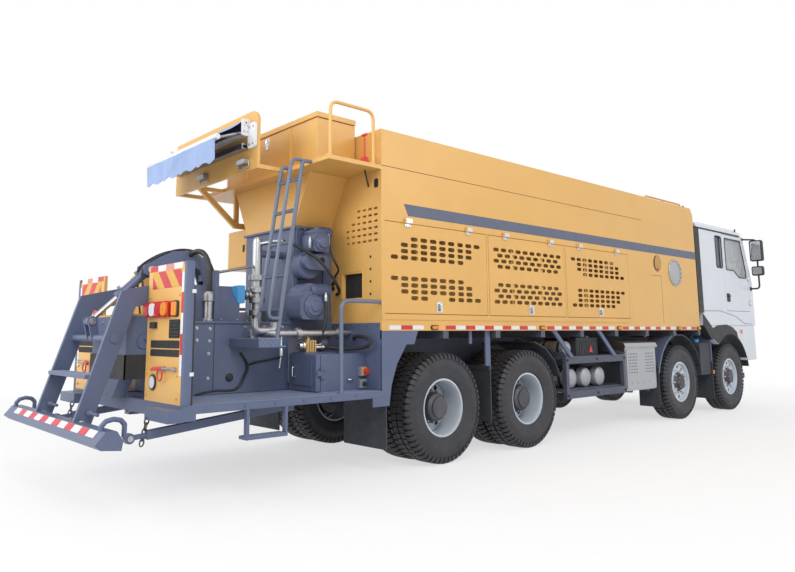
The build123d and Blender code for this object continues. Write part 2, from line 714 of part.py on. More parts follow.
def upper_platform():
    """The yellow platform with its discharge hood, awning board and gusset."""
    low = PLATFORM_TOP - PLATFORM_T
    floor = box(PLATFORM_REAR, BODY_REAR, -HALF_WIDTH, HALF_WIDTH, low, PLATFORM_TOP)
    floor -= box(HOOD_REAR + 40, BODY_REAR - 40, -HOOD_HIGH_Y + 40, HOOD_HIGH_Y - 40, low - 1, low + 25)
    hood_rear = prism_x(
        [(-HOOD_LOW_Y, HOOD_BOTTOM), (HOOD_LOW_Y, HOOD_BOTTOM), (HOOD_HIGH_Y, low), (-HOOD_HIGH_Y, low)],
        HOOD_REAR, HOOD_REAR + HOOD_T,
    )
    cheek = prism_x(
        [
            (HOOD_LOW_Y - HOOD_T, HOOD_BOTTOM), (HOOD_LOW_Y, HOOD_BOTTOM),
            (HOOD_HIGH_Y, low), (HOOD_HIGH_Y - HOOD_T, low),
        ],
        HOOD_REAR, BODY_REAR,
    )
    board = box(BOARD_X - 30, BOARD_X, BOARD_RIGHT, HALF_WIDTH, low, BOARD_TOP)
    corner = board.edges().filter_by(Axis.X).sort_by(Axis.Z)[-2:].sort_by(Axis.Y)[0]
    board = fillet(corner, 120)
    beams = [
        box(BOARD_X, PLATFORM_REAR, y, y + 40, low, PLATFORM_TOP)
        for y in (BOARD_RIGHT, GUSSET_Y, HALF_WIDTH - 40)
    ]
    brace = prism_y([
        (BOARD_X + 10, low), (BOARD_X + 90, low), (HOOD_REAR, GUSSET_Z + 80), (HOOD_REAR, GUSSET_Z),
    ], GUSSET_Y, GUSSET_Y + 40)
    post = box(HOOD_REAR, HOOD_REAR + 50, GUSSET_Y, GUSSET_Y + 40, GUSSET_Z, low)
    tie = box(HOOD_REAR, BODY_REAR, GUSSET_Y, GUSSET_Y + 40, GUSSET_Z, GUSSET_Z + 60)
    return joined([floor, hood_rear, *both_sides(cheek), board, *beams, brace, post, tie])


def guard_rails():
    """The guard rails on both sides of the upper platform, and the low rails on the tank's roof."""
    y = HALF_WIDTH - TUBE_R - 1
    front_x = AXLE_4 - 973
    hoop = tube_run([
        (RAIL_X, y, PLATFORM_TOP), (RAIL_X, y, RAIL_TOP_Z), (front_x, y, RAIL_TOP_Z), (front_x, y, PLATFORM_TOP),
    ], 80, TUBE_R)
    roof_y = HALF_WIDTH - 100
    roof_rear = TANK_REAR + TANK_LEAN + 60
    roof_front = BODY_FRONT - 140
    roof_z = BODY_TOP + ROOF_RAIL_H
    roof = tube_run([
        (roof_rear, roof_y, BODY_TOP), (roof_rear, roof_y, roof_z),
        (roof_front, roof_y, roof_z), (roof_front, roof_y, BODY_TOP),
    ], 40, TUBE_R - 5)
    return Compound([*both_sides(hoop), *both_sides(roof)])


BIN_REAR = AXLE_4 - 1370
BIN_FRONT = BODY_REAR - 10
BIN_RIGHT = 390 - HALF_WIDTH
BIN_LEFT = HALF_WIDTH - 350
BIN_H = 475
BIN_TOP = PLATFORM_TOP + BIN_H
BIN_WALL = 15
LID_H = 50
LID_GAP = 5


def filler_bin():
    """The open-topped filler bin on the platform."""
    outer = box(BIN_REAR, BIN_FRONT, BIN_RIGHT, BIN_LEFT, PLATFORM_TOP, BIN_TOP)
    outer -= box(
        BIN_REAR + BIN_WALL, BIN_FRONT - BIN_WALL, BIN_RIGHT + BIN_WALL, BIN_LEFT - BIN_WALL,
        PLATFORM_TOP + BIN_WALL, BIN_TOP + 1,
    )
    return joined([outer, *lid_hinges(FIXED_HALF)])


def lid_hinges(half):
    """One half of each of the lid's two hinges."""
    pieces = []
    for y in (BIN_RIGHT + 300, BIN_LEFT - 300):
        place = Plane(origin=(BIN_FRONT + HINGE_OFF, y, BIN_TOP + LID_GAP / 2), x_dir=(0, 0, -1), z_dir=(0, -1, 0))
        pieces.append(place * half)
    return pieces


def bin_lid():
    """The lid, hinged along its front edge."""
    low = BIN_TOP + LID_GAP
    cover = box(BIN_REAR - 15, BIN_FRONT, BIN_RIGHT - 15, BIN_LEFT + 15, low, low + LID_H)
    return joined([cover, *lid_hinges(MOVING_HALF)])


AWNING_RIGHT = -380
AWNING_LEFT = HALF_WIDTH - 30
AWNING_BAR_X = AXLE_4 - 2170
AWNING_BAR_Z = PLATFORM_TOP + 235
AWNING_ROLL_X = BOARD_X - 80
AWNING_ROLL_Z = PLATFORM_TOP + 385
AWNING_BAR_R = 22


def awning():
    """Cassette, end plates, folding arms and front bar."""
    cassette = box(BOARD_X - 110, BOARD_X - 30, AWNING_RIGHT, AWNING_LEFT, AWNING_ROLL_Z - 60, AWNING_ROLL_Z + 60)
    front = bar((AWNING_BAR_X, AWNING_RIGHT, AWNING_BAR_Z), (AWNING_BAR_X, AWNING_LEFT, AWNING_BAR_Z), AWNING_BAR_R)
    arms = []
    for y in (AWNING_RIGHT + 60, AWNING_LEFT - 60):
        arms.append(bar((BOARD_X - 70, y, AWNING_ROLL_Z - 40), (AWNING_BAR_X, y, AWNING_BAR_Z), 18))
    return joined([cassette, front, *arms])


CLOTH_T = 4
CLOTH_GAP = 4
VALANCE_H = 250
VALANCE_Z = AWNING_BAR_Z - VALANCE_H


def awning_cloth():
    """The sheet from the cassette over the front bar, with its hanging valance."""
    start = (BOARD_X - 110, AWNING_ROLL_Z + 54)
    line = [start]
    back = [(start[0], start[1] + CLOTH_T)]
    for deg in (90, 135, 180):
        turn = Vector(math.cos(math.radians(deg)), math.sin(math.radians(deg)))
        inner = turn * (AWNING_BAR_R + CLOTH_GAP)
        outer = turn * (AWNING_BAR_R + CLOTH_GAP + CLOTH_T)
        line.append((AWNING_BAR_X + inner.X, AWNING_BAR_Z + inner.Y))
        back.append((AWNING_BAR_X + outer.X, AWNING_BAR_Z + outer.Y))
    line.append((line[-1][0], VALANCE_Z))
    back.append((back[-1][0], VALANCE_Z))
    return prism_y(line + back[::-1], AWNING_RIGHT + 10, AWNING_LEFT - 10)


# Mixer and rear deck

MIXER_REAR = AXLE_4 - 2500
MIXER_FRONT = AXLE_4 - 1430
MIXER_T = 20
SPOUT_REAR = AXLE_4 - 2950
SPOUT_BOTTOM = DECK_TOP + 230
SPOUT_TOP = MIXER_TOP + 40
FEEDER_BOTTOM = MIXER_TOP + 70
FUNNEL_H = 240
PIVOT = (AXLE_4 - 2600, MIXER_TOP + 270)
PIVOT_R = 30
BASE_PIN = (PIVOT[0] - 30, PIVOT[1] + 194)
BASE_PIN_R = 20
ROD_EYE = (PIVOT[0] - 518, PIVOT[1] - 270)
NECK_GAP = 55
NECK_T = 25


def mixer():
    """Mixer trough, feeder housing, discharge box with spout, gooseneck and the guard's pivot shaft."""
    trough = box(MIXER_REAR, MIXER_FRONT, -MIXER_Y, MIXER_Y, DECK_TOP, MIXER_TOP)
    trough -= box(
        MIXER_REAR + MIXER_T, MIXER_FRONT - MIXER_T, MIXER_T - MIXER_Y, MIXER_Y - MIXER_T,
        DECK_TOP - 1, MIXER_TOP - MIXER_T,
    )
    feeder = box(HOOD_REAR, BODY_REAR, -HOOD_LOW_Y, HOOD_LOW_Y, FEEDER_BOTTOM, HOOD_BOTTOM)
    feeder -= box(
        HOOD_REAR + MIXER_T, BODY_REAR + 1, MIXER_T - HOOD_LOW_Y, HOOD_LOW_Y - MIXER_T,
        FEEDER_BOTTOM - 10, HOOD_BOTTOM + 1,
    )
    throat = box(
        MIXER_FRONT - 100, HOOD_REAR + MIXER_T, -HOOD_LOW_Y, HOOD_LOW_Y, MIXER_TOP - MIXER_T, FEEDER_BOTTOM + 40,
    )
    top = MIXER_TOP
    dome = [(-300, top), (300, top), (300, top + 190), (180, top + 340), (-180, top + 340), (-300, top + 190)]
    cover = prism_x(dome, AXLE_4 - 2250, AXLE_4 - 1850)
    mouth_x = SPOUT_REAR + 60
    spout_box = box(SPOUT_REAR, MIXER_REAR, -400, 400, SPOUT_BOTTOM, SPOUT_TOP)
    spout_box -= box(
        SPOUT_REAR + MIXER_T, MIXER_REAR - MIXER_T, -380, 380, SPOUT_BOTTOM + MIXER_T, SPOUT_TOP - MIXER_T,
    )
    low = SPOUT_BOTTOM - FUNNEL_H
    funnel = prism_x(
        [(-350, SPOUT_BOTTOM), (350, SPOUT_BOTTOM), (120, low), (-120, low)], SPOUT_REAR + 2, mouth_x + 58,
    )
    mouth = SPOUT_BOTTOM + MIXER_T + 1
    bore = prism_x([(-330, mouth), (330, mouth), (100, low - 1), (-100, low - 1)], mouth_x - 38, mouth_x + 38)
    spout = spout_box + funnel - bore
    shaft = bar((PIVOT[0], -545, PIVOT[1]), (PIVOT[0], 545, PIVOT[1]), PIVOT_R, FLATS)
    cheek = prism_y([
        (PIVOT[0] - 90, SPOUT_TOP), (PIVOT[0] + 90, SPOUT_TOP),
        (PIVOT[0] + 50, PIVOT[1] + 45), (PIVOT[0] - 50, PIVOT[1] + 45),
    ], 380, 400)
    neck = [
        (-2000, 0), (-1990, 390), (-2060, 570), (-2230, 670), (-2430, 650), (-2700, 500), (-2700, 430),
        (-2600, 400), (-2430, 520), (-2270, 550), (-2150, 490), (-2110, 370), (-2120, 0),
    ]
    plate = Pos(0, 0, top) * prism_y(along(neck, AXLE_4), NECK_GAP, NECK_GAP + NECK_T)
    pin_y = NECK_GAP + NECK_T
    base_pin = bar((BASE_PIN[0], -pin_y, BASE_PIN[1]), (BASE_PIN[0], pin_y, BASE_PIN[1]), BASE_PIN_R, FLATS)
    tie = box(AXLE_4 - 2110, AXLE_4 - 2000, -NECK_GAP - NECK_T, NECK_GAP + NECK_T, top + 390, top + 450)
    return joined([
        trough, feeder, throat, cover, spout, shaft, *both_sides(cheek), *both_sides(plate), base_pin, tie,
    ])


DRIVE_Y = -700
CONSOLE_T = 250


def mixer_drives():
    """Gearbox and motor units and the belt drum on the right of the feeder, and the left console box."""
    wall = -HOOD_LOW_Y
    x = AXLE_4 - 1180
    z = HOOD_BOTTOM - 155
    upper = box(x - 120, x + 120, DRIVE_Y, wall, z - 120, z + 120)
    upper += bar((x, DRIVE_Y, z), (x, DRIVE_Y - 60, z), 90)
    upper += bar((x - 40, DRIVE_Y + 90, z + 90), (x + 230, DRIVE_Y + 90, z + 90), 62)
    drum_z = HOOD_BOTTOM - 390
    drum = bar((x - 50, wall, drum_z), (x - 50, DRIVE_Y + 60, drum_z), 110)
    low_z = MIXER_TOP + 185
    lower = box(x - 270, x + 110, DRIVE_Y, wall, low_z - 165, low_z + 165)
    lower += bar((x - 110, DRIVE_Y, low_z - 20), (x - 110, DRIVE_Y - 40, low_z - 20), 120)
    lower += bar((x - 40, DRIVE_Y + 80, low_z + 100), (x + 260, DRIVE_Y + 80, low_z + 100), 70)
    console = box(BODY_REAR - CONSOLE_T, BODY_REAR, GUSSET_Y + 55, HALF_WIDTH, HOOD_BOTTOM - 325, HOOD_BOTTOM + 135)
    return Compound([upper, drum, lower, console])


FEED_Z = 1365


def process_pipes():
    """Water and emulsion pipes from the body to the mixer."""
    riser = tube_run([
        (AXLE_4 - 1640, -250, MIXER_TOP), (AXLE_4 - 1640, -250, HOOD_BOTTOM - 135),
        (HOOD_REAR, -250, HOOD_BOTTOM - 135),
    ], 90, 45)
    feed = tube_run([
        (AXLE_4 - 1980, -MIXER_Y, FEED_Z), (AXLE_4 - 1980, -760, FEED_Z), (BODY_REAR, -760, FEED_Z),
    ], 110, 32)
    return Compound([riser, feed])


STEP_Z = 1260
LADDER_RIGHT = 280 - HALF_WIDTH
LADDER_LEFT = LADDER_RIGHT + 350
LADDER_FOOT = AXLE_4 - 1860
LADDER_HEAD = AXLE_4 - 1612
HAND_OFF = 120
RUNG_PITCH = 300
DECK_RAIL_X = AXLE_4 - 1353
DECK_RAIL_H = 820


def ladder():
    """The ladder to the platform with its step and looped handrail, and the deck's two side rails."""
    top = PLATFORM_TOP - PLATFORM_T / 2
    foot = STEP_Z - 20
    lean = (LADDER_HEAD - LADDER_FOOT) / (top - foot)
    pieces = [box(AXLE_4 - 2390, AXLE_4 - 1810, -1000, -MIXER_Y, STEP_Z - 80, STEP_Z)]
    for y in (LADDER_LEFT, LADDER_RIGHT):
        pieces.append(tube_run([(LADDER_FOOT, y, foot), (LADDER_HEAD, y, top), (PLATFORM_REAR, y, top)], 60, TUBE_R))
    for n in range(1, int((top - foot) / RUNG_PITCH) + 1):
        z = foot + n * RUNG_PITCH - 30
        x = LADDER_FOOT + lean * (z - foot)
        pieces.append(bar((x, LADDER_RIGHT, z), (x, LADDER_LEFT, z), TUBE_R - 4))
    low = foot + 190
    low_x = LADDER_FOOT + lean * (low - foot)
    pieces.append(tube_run([
        (low_x, LADDER_RIGHT, low), (low_x - HAND_OFF, LADDER_RIGHT, low),
        (LADDER_HEAD - HAND_OFF, LADDER_RIGHT, top), (LADDER_HEAD + 20, LADDER_RIGHT, top),
    ], 60, TUBE_R - 3))
    rail_y = HALF_WIDTH - TUBE_R - 5
    rail = tube_run([
        (DECK_RAIL_X, rail_y, DECK_TOP), (DECK_RAIL_X, rail_y, DECK_TOP + DECK_RAIL_H),
        (BODY_REAR, rail_y, DECK_TOP + DECK_RAIL_H),
    ], 80, TUBE_R)
    return Compound([joined(pieces), *both_sides(rail)])


TOW_ARM_Y = HALF_WIDTH - 370
TOW_ARM = 65
TOW_ARM_FRONT = (AXLE_4 - 1690, 672)
TOW_ARM_REAR = (AXLE_4 - 2950, 543)
TOW_LINK = (AXLE_4 - 3080, 530)
STEP_REAR = AXLE_4 - 2302
STEP_FRONT = AXLE_4 - 1920
STEP_DROP = 235
STEP_T = 25
POST_W = 40


def tow_arm():
    """The left tow arm under the deck, with its bracket and rear link."""
    half = TOW_ARM / 2
    (x0, z0), (x1, z1) = TOW_ARM_FRONT, TOW_ARM_REAR
    arm = prism_y([(x0, z0 - half), (x0, z0 + half), (x1, z1 + half), (x1, z1 - half)],
                  TOW_ARM_Y - half, TOW_ARM_Y + half)
    bracket = box(x0 - 50, x0 + 50, TOW_ARM_Y - 45, TOW_ARM_Y + 45, z0 - 45, DECK_TOP - DECK_T)
    link = bar((x1, TOW_ARM_Y, z1), (TOW_LINK[0], TOW_ARM_Y, TOW_LINK[1]), 20)
    eye = bar((TOW_LINK[0], TOW_ARM_Y - 25, TOW_LINK[1]), (TOW_LINK[0], TOW_ARM_Y + 25, TOW_LINK[1]), 40)
    return joined([arm, bracket, link, eye])


def deck_step():
    """The left step that hangs under the deck's edge."""
    low = DECK_TOP - DECK_T - STEP_DROP
    pieces = [box(STEP_REAR, STEP_FRONT, HALF_WIDTH - 120, HALF_WIDTH, low, low + STEP_T)]
    for x in (STEP_REAR, STEP_FRONT - STEP_T):
        pieces.append(box(x, x + STEP_T, HALF_WIDTH - 45, HALF_WIDTH, low, DECK_TOP - DECK_T))
    return joined(pieces)


def rear_deck():
    """Deck plates on their beams, cross-beam, posts, steps, tow arms, aprons and the control cabinet's box."""
    low = DECK_TOP - DECK_T
    half = [box(DECK_REAR, BODY_REAR, DECK_INNER_Y, HALF_WIDTH, low, DECK_TOP)]
    half.append(box(DECK_REAR, AXLE_4 - 600, RAIL_Y - 80, RAIL_Y, 660, RAIL_BOTTOM))
    half.append(box(DECK_REAR, FRAME_REAR - 5, RAIL_Y, DECK_INNER_Y, low, RAIL_BOTTOM))
    apron = [
        (-890, SUBFRAME_TOP), (-540, SUBFRAME_TOP), (-700, 1008), (-770, 820), (-800, 630), (-1000, 630),
        (-1000, low), (-890, low),
    ]
    half.append(prism_y(along(apron, AXLE_4), HALF_WIDTH - 12, HALF_WIDTH - 2))
    half.append(box(DECK_REAR - 120, DECK_REAR, TOW_ARM_Y - 50, HALF_WIDTH, 655, DECK_TOP - 25))
    half.append(box(DECK_REAR - 5, DECK_REAR + 60, LAMP_OUT, LAMP_OUT + POST_W, DECK_TOP, LAMP_TOP))
    half.append(deck_step())
    half.append(tow_arm())
    pieces = []
    for piece in half:
        pieces.extend(both_sides(piece))
    pieces.append(box(DECK_REAR, DECK_REAR + 100, -HALF_WIDTH, HALF_WIDTH, 660, DECK_TOP))
    return joined([*pieces, cabinet()])


CABINET_REAR = AXLE_4 - 1400
CABINET_RIGHT = 260 - HALF_WIDTH
CABINET_LEFT = CABINET_RIGHT + 430
CABINET_H = 340
CABINET_TOP = DECK_TOP + CABINET_H
CABINET_T = 15
CABINET_GAP = 6
CABINET_DOOR_T = 50


def cabinet():
    """The control cabinet's open box."""
    outer = box(CABINET_REAR, BODY_REAR, CABINET_RIGHT, CABINET_LEFT, DECK_TOP, CABINET_TOP)
    outer -= box(
        CABINET_REAR - 1, BODY_REAR - CABINET_T, CABINET_RIGHT + CABINET_T, CABINET_LEFT - CABINET_T,
        DECK_TOP + CABINET_T, CABINET_TOP - CABINET_T,
    )
    return joined([outer, cabinet_hinge(FIXED_HALF)])


def cabinet_hinge(half):
    """One half of the cabinet door's hinge, on its right edge."""
    left = Pos(CABINET_REAR - CABINET_GAP / 2, HINGE_OFF - CABINET_RIGHT, (DECK_TOP + CABINET_TOP) / 2) * half
    return flipped(left)


def cabinet_door():
    """The cabinet's door, on its rear face."""
    front = CABINET_REAR - CABINET_GAP
    panel = box(front - CABINET_DOOR_T, front, CABINET_RIGHT, CABINET_LEFT, DECK_TOP + 10, CABINET_TOP)
    return joined([panel, cabinet_hinge(MOVING_HALF)])


LAMP_OUT = HALF_WIDTH - 55
LAMP_IN = LAMP_OUT - 670
LAMP_H = 1080
LAMP_TOP = DECK_TOP + LAMP_H
PLATE_T = 30
PLATE_CORNER = 45


def lamp_plates():
    """The two upright plates behind the deck, each with a cut outer top corner."""
    outline = [
        (LAMP_IN, DECK_TOP), (LAMP_OUT, DECK_TOP), (LAMP_OUT, LAMP_TOP - PLATE_CORNER),
        (LAMP_OUT - PLATE_CORNER, LAMP_TOP), (LAMP_IN, LAMP_TOP),
    ]
    return Compound(both_sides(prism_x(outline, DECK_REAR, DECK_REAR + PLATE_T)))


TAIL_LAMP_IN = LAMP_IN + 5
TAIL_LAMP_OUT = LAMP_OUT - 10
TAIL_LAMP_T = 60
TAIL_LAMP_Z = 1492
TAIL_LAMP_H = 125
REFLECTOR_Y = LAMP_IN + 161
REFLECTOR_Z = 920
HEADLAMP_LOW = 930
HEADLAMP_H = 200


def lamps():
    """Tail lamps and reflectors on the plates, and headlamps on the bumper's slanted corners."""
    low = TAIL_LAMP_Z - TAIL_LAMP_H / 2
    tail = box(DECK_REAR - TAIL_LAMP_T, DECK_REAR, TAIL_LAMP_IN, TAIL_LAMP_OUT, low, low + TAIL_LAMP_H)
    reflector = bar((DECK_REAR - 12, REFLECTOR_Y, REFLECTOR_Z), (DECK_REAR, REFLECTOR_Y, REFLECTOR_Z), 60)
    head = prism_z([
        (X_FRONT - 52, CAB_HALF - 285), (X_FRONT - 12, CAB_HALF - 485), (X_FRONT, CAB_HALF - 477),
        (X_FRONT - 40, CAB_HALF - 277),
    ], HEADLAMP_LOW, HEADLAMP_LOW + HEADLAMP_H)
    return Compound([*both_sides(tail), *both_sides(reflector), *both_sides(head)])


GUARD_Z = 600
GUARD_T = 195
GUARD_HALF = HALF_WIDTH - 15
ARM_Y = 480
ARM_T = 40
SHAFT_GAP = 0.5
YOKE_TUBE = (PIVOT[0] - 485, PIVOT[1] - 410)
YOKE_R = 28
EAR_Y = 50
EAR_T = 16


def guard():
    """The rear guard: striped beam, two boomerang arms, step, yoke tube and lifting rings."""
    beam = prism_y([
        (X_REAR, GUARD_Z - 45), (X_REAR + 45, GUARD_Z - 80), (X_REAR + 185, GUARD_Z - 95),
        (X_REAR + GUARD_T, GUARD_Z - 30), (X_REAR + 150, GUARD_Z + 40), (X_REAR + 70, GUARD_Z + 40),
    ], -GUARD_HALF, GUARD_HALF)
    x, z = PIVOT
    plate = prism_y([
        (x, z + 75), (x - 450, z - 30), (X_REAR + 70, GUARD_Z), (X_REAR + 210, GUARD_Z),
        (x - 330, z - 160), (x, z - 75), (x + 80, z),
    ], ARM_Y, ARM_Y + ARM_T)
    plate -= bar((x, 0, z), (x, 1000, z), PIVOT_R + SHAFT_GAP, FLATS, on_flats=True)
    yoke = bar((YOKE_TUBE[0], -ARM_Y - 10, YOKE_TUBE[1]), (YOKE_TUBE[0], ARM_Y + 10, YOKE_TUBE[1]), YOKE_R)
    ear = prism_y([
        (YOKE_TUBE[0] + 30, YOKE_TUBE[1] - 20), (ROD_EYE[0] + 42, ROD_EYE[1] + 20),
        (ROD_EYE[0] + 10, ROD_EYE[1] + 45), (ROD_EYE[0] - 40, ROD_EYE[1] + 25), (YOKE_TUBE[0] - 30, YOKE_TUBE[1] - 20),
    ], EAR_Y, EAR_Y + EAR_T)
    step = box(X_REAR + 160, X_REAR + 290, -ARM_Y, ARM_Y, GUARD_Z + 355, GUARD_Z + 385)
    return joined([beam, *both_sides(plate), yoke, *both_sides(ear), step])


BARREL_R = 40
BARREL_BORE = 22.5
BORE_START = 46
BARREL_L = 372
ROD_R = 22
ROD_INNER = 305


def cylinder_line(distance):
    """A point on the cylinder's line, this far from the base pin."""
    dx = ROD_EYE[0] - BASE_PIN[0]
    dz = ROD_EYE[1] - BASE_PIN[1]
    length = math.hypot(dx, dz)
    return (BASE_PIN[0] + dx * distance / length, 0, BASE_PIN[1] + dz * distance / length)


def cylinder_barrel():
    """The guard cylinder's barrel with its base eye."""
    eye = bar((BASE_PIN[0], -45, BASE_PIN[1]), (BASE_PIN[0], 45, BASE_PIN[1]), 42)
    tube = bar(cylinder_line(20), cylinder_line(BARREL_L), BARREL_R)
    tube += eye
    tube -= bar(cylinder_line(BORE_START), cylinder_line(BARREL_L + 1), BARREL_BORE, on_flats=True)
    pin_r = BASE_PIN_R + SHAFT_GAP
    return tube - bar((BASE_PIN[0], -100, BASE_PIN[1]), (BASE_PIN[0], 100, BASE_PIN[1]), pin_r, FLATS, on_flats=True)


def cylinder_rod():
    """The guard cylinder's rod with its eye between the guard's ears."""
    eye_distance = math.hypot(ROD_EYE[0] - BASE_PIN[0], ROD_EYE[1] - BASE_PIN[1])
    rod = bar(cylinder_line(ROD_INNER), cylinder_line(eye_distance), ROD_R, on_flats=True)
    eye = bar((ROD_EYE[0], -40, ROD_EYE[1]), (ROD_EYE[0], 40, ROD_EYE[1]), 34)
    return rod + eye


# Cab

CAB_NOSE = AXLE_1 + 1315
SCREEN_TOP = (CAB_NOSE - 490, CAB_ROOF - 110)
SCREEN_FOOT = (CAB_NOSE - 110, CAB_BOTTOM + 560)
SCREEN_LOW = SCREEN_FOOT[1] + 80
SCREEN_HIGH = SCREEN_TOP[1] - 100


def cab_outline(inset):
    """The cab's side outline, moved in by a wall thickness."""
    return [
        (CAB_REAR + inset, CAB_BOTTOM + inset), (CAB_NOSE - inset, CAB_BOTTOM + inset),
        (CAB_NOSE - inset, SCREEN_FOOT[1] - 80 - inset / 3), (SCREEN_FOOT[0] - inset, SCREEN_FOOT[1]),
        (SCREEN_TOP[0] - inset, SCREEN_TOP[1] - inset / 2), (SCREEN_TOP[0] - 120, CAB_ROOF - 10 - inset),
        (CAB_REAR + 300, CAB_ROOF - inset), (CAB_REAR + inset, CAB_ROOF - 60 - inset),
    ]


def cab_section(inset):
    """The cab's (y, z) section with rounded roof edges, moved in by a wall thickness."""
    half = CAB_HALF - inset
    roof = CAB_ROOF - inset
    right = [
        (half, CAB_BOTTOM), (half, roof - 155), (half - 22, roof - 82), (half - 78, roof - 25), (half - 165, roof),
    ]
    return right + [(-y, z) for y, z in reversed(right)]


def cab_plan(inset):
    """The cab's (x, y) plan with rounded front corners, moved in by a wall thickness."""
    half = CAB_HALF - inset
    nose = CAB_NOSE - inset
    left = [(CAB_REAR, half), (nose - 180, half), (nose - 60, half - 65), (nose, half - 195)]
    return left + [(x, -y) for x, y in reversed(left)]


def cab_form(inset):
    """The cab's outer form, moved in by a wall thickness."""
    form = prism_y(cab_outline(inset), -CAB_HALF, CAB_HALF)
    form &= prism_x(cab_section(inset), CAB_REAR, CAB_NOSE)
    return form & prism_z(cab_plan(inset), CAB_BOTTOM, CAB_ROOF)


PILLAR_X = DOOR_FRONT - 190
DOOR_OUTLINE = [
    (DOOR_REAR, DOOR_BOTTOM), (DOOR_FRONT, DOOR_BOTTOM), (DOOR_FRONT, WAIST_Z + 50), (PILLAR_X, DOOR_TOP),
    (DOOR_REAR, DOOR_TOP),
]
DOOR_HOLE = [
    (DOOR_REAR - DOOR_GAP, DOOR_BOTTOM - DOOR_GAP), (DOOR_FRONT + DOOR_GAP, DOOR_BOTTOM - DOOR_GAP),
    (DOOR_FRONT + DOOR_GAP, WAIST_Z + 52), (PILLAR_X + DOOR_GAP, DOOR_TOP + DOOR_GAP),
    (DOOR_REAR - DOOR_GAP, DOOR_TOP + DOOR_GAP),
]
DOOR_WINDOW = [
    (DOOR_REAR + 90, WAIST_Z + 20), (DOOR_REAR + 400, WAIST_Z + 20), (DOOR_REAR + 600, WAIST_Z - 90),
    (DOOR_FRONT - 75, WAIST_Z - 90), (DOOR_FRONT - 75, WAIST_Z + 30), (PILLAR_X - 60, DOOR_TOP - 60),
    (DOOR_REAR + 90, DOOR_TOP - 60),
]
QUARTER_WINDOW = [
    (DOOR_REAR - 290, WAIST_Z + 40), (DOOR_REAR - 50, WAIST_Z + 40), (DOOR_REAR - 50, DOOR_TOP - 50),
    (DOOR_REAR - 290, DOOR_TOP - 50),
]
SCREEN_HALF = CAB_HALF - 165


def screen_x(z):
    """The windscreen's outer X at a height."""
    share = (z - SCREEN_FOOT[1]) / (SCREEN_TOP[1] - SCREEN_FOOT[1])
    return SCREEN_FOOT[0] + (SCREEN_TOP[0] - SCREEN_FOOT[0]) * share


def cab_shell():
    """The hollow cab with its door, quarter-window and windscreen openings."""
    shell = cab_form(0) - cab_form(CAB_WALL)
    for outline in (DOOR_HOLE, QUARTER_WINDOW):
        for y in (-CAB_HALF - 1, CAB_HALF - CAB_WALL - 1):
            shell -= prism_y(outline, y, y + CAB_WALL + 2)
    shell -= prism_y([
        (screen_x(SCREEN_LOW) - 120, SCREEN_LOW), (screen_x(SCREEN_LOW) + 60, SCREEN_LOW),
        (screen_x(SCREEN_HIGH) + 60, SCREEN_HIGH), (screen_x(SCREEN_HIGH) - 120, SCREEN_HIGH),
    ], -SCREEN_HALF, SCREEN_HALF)
    hinges = []
    for half in door_hinges(FIXED_HALF):
        hinges.extend(both_sides(half))
    return joined([shell, *hinges])


def cab_glass():
    """Windscreen and quarter windows."""
    back = 20
    screen = prism_y([
        (screen_x(SCREEN_LOW) - back - GLASS_T, SCREEN_LOW), (screen_x(SCREEN_LOW) - back, SCREEN_LOW),
        (screen_x(SCREEN_HIGH) - back, SCREEN_HIGH), (screen_x(SCREEN_HIGH) - back - GLASS_T, SCREEN_HIGH),
    ], -SCREEN_HALF, SCREEN_HALF)
    quarter = prism_y(QUARTER_WINDOW, CAB_HALF - 20 - GLASS_T, CAB_HALF - 20)
    return Compound([screen, *both_sides(quarter)])


def cab_door():
    """The left cab door."""
    panel = prism_y(DOOR_OUTLINE, CAB_HALF - CAB_WALL, CAB_HALF)
    panel -= prism_y(DOOR_WINDOW, CAB_HALF - CAB_WALL - 1, CAB_HALF + 1)
    return joined([panel, *door_hinges(MOVING_HALF)])


def door_glass():
    """The left door's window."""
    return prism_y(DOOR_WINDOW, CAB_HALF - 20 - GLASS_T, CAB_HALF - 20)


def cab_interior():
    """Two seats, and the dashboard with the steering wheel."""
    floor = CAB_BOTTOM + CAB_WALL
    pieces = []
    for y in (-600, 600):
        x = DOOR_REAR - 280
        seat = prism_y([
            (x, floor), (x + 420, floor), (x + 420, floor + 380), (x + 520, floor + 430), (x + 520, floor + 520),
            (x + 60, floor + 500), (x - 60, floor + 1150), (x - 180, floor + 1150),
            (x - 80, floor + 380), (x, floor + 380),
        ], y - 250, y + 250)
        pieces.append(seat)
    inner = CAB_NOSE - CAB_WALL
    dash = prism_y([
        (inner - 420, floor + 310), (inner - SEAT_GAP, floor + 200), (inner - SEAT_GAP, floor + 410),
        (SCREEN_FOOT[0] - 140, floor + 540), (inner - 420, floor + 510),
    ], 265 - CAB_HALF, CAB_HALF - 265)
    column = bar((inner - 300, 600, floor + 400), (inner - 620, 600, CAB_BOTTOM + 610), 35)
    hub = Plane((inner - 620, 600, CAB_BOTTOM + 610), z_dir=(-2, 0, 1))
    ring = extrude(hub * RegularPolygon(225, FLATS), 26) - extrude(hub * RegularPolygon(198, FLATS), 26)
    wheel = ring + extrude(hub * Rectangle(50, 410), 18)
    pieces.append(joined([dash, column, wheel]))
    return Compound(pieces)


BUMPER_BOTTOM = 800
WING_ARCH_R = 720
GRILLE_HALF = CAB_HALF - 425
GRILLE_TOP = 1840
GRILLE_T = 45
GRILLE_SLOTS = 4
GRILLE_SLOT_H = 55


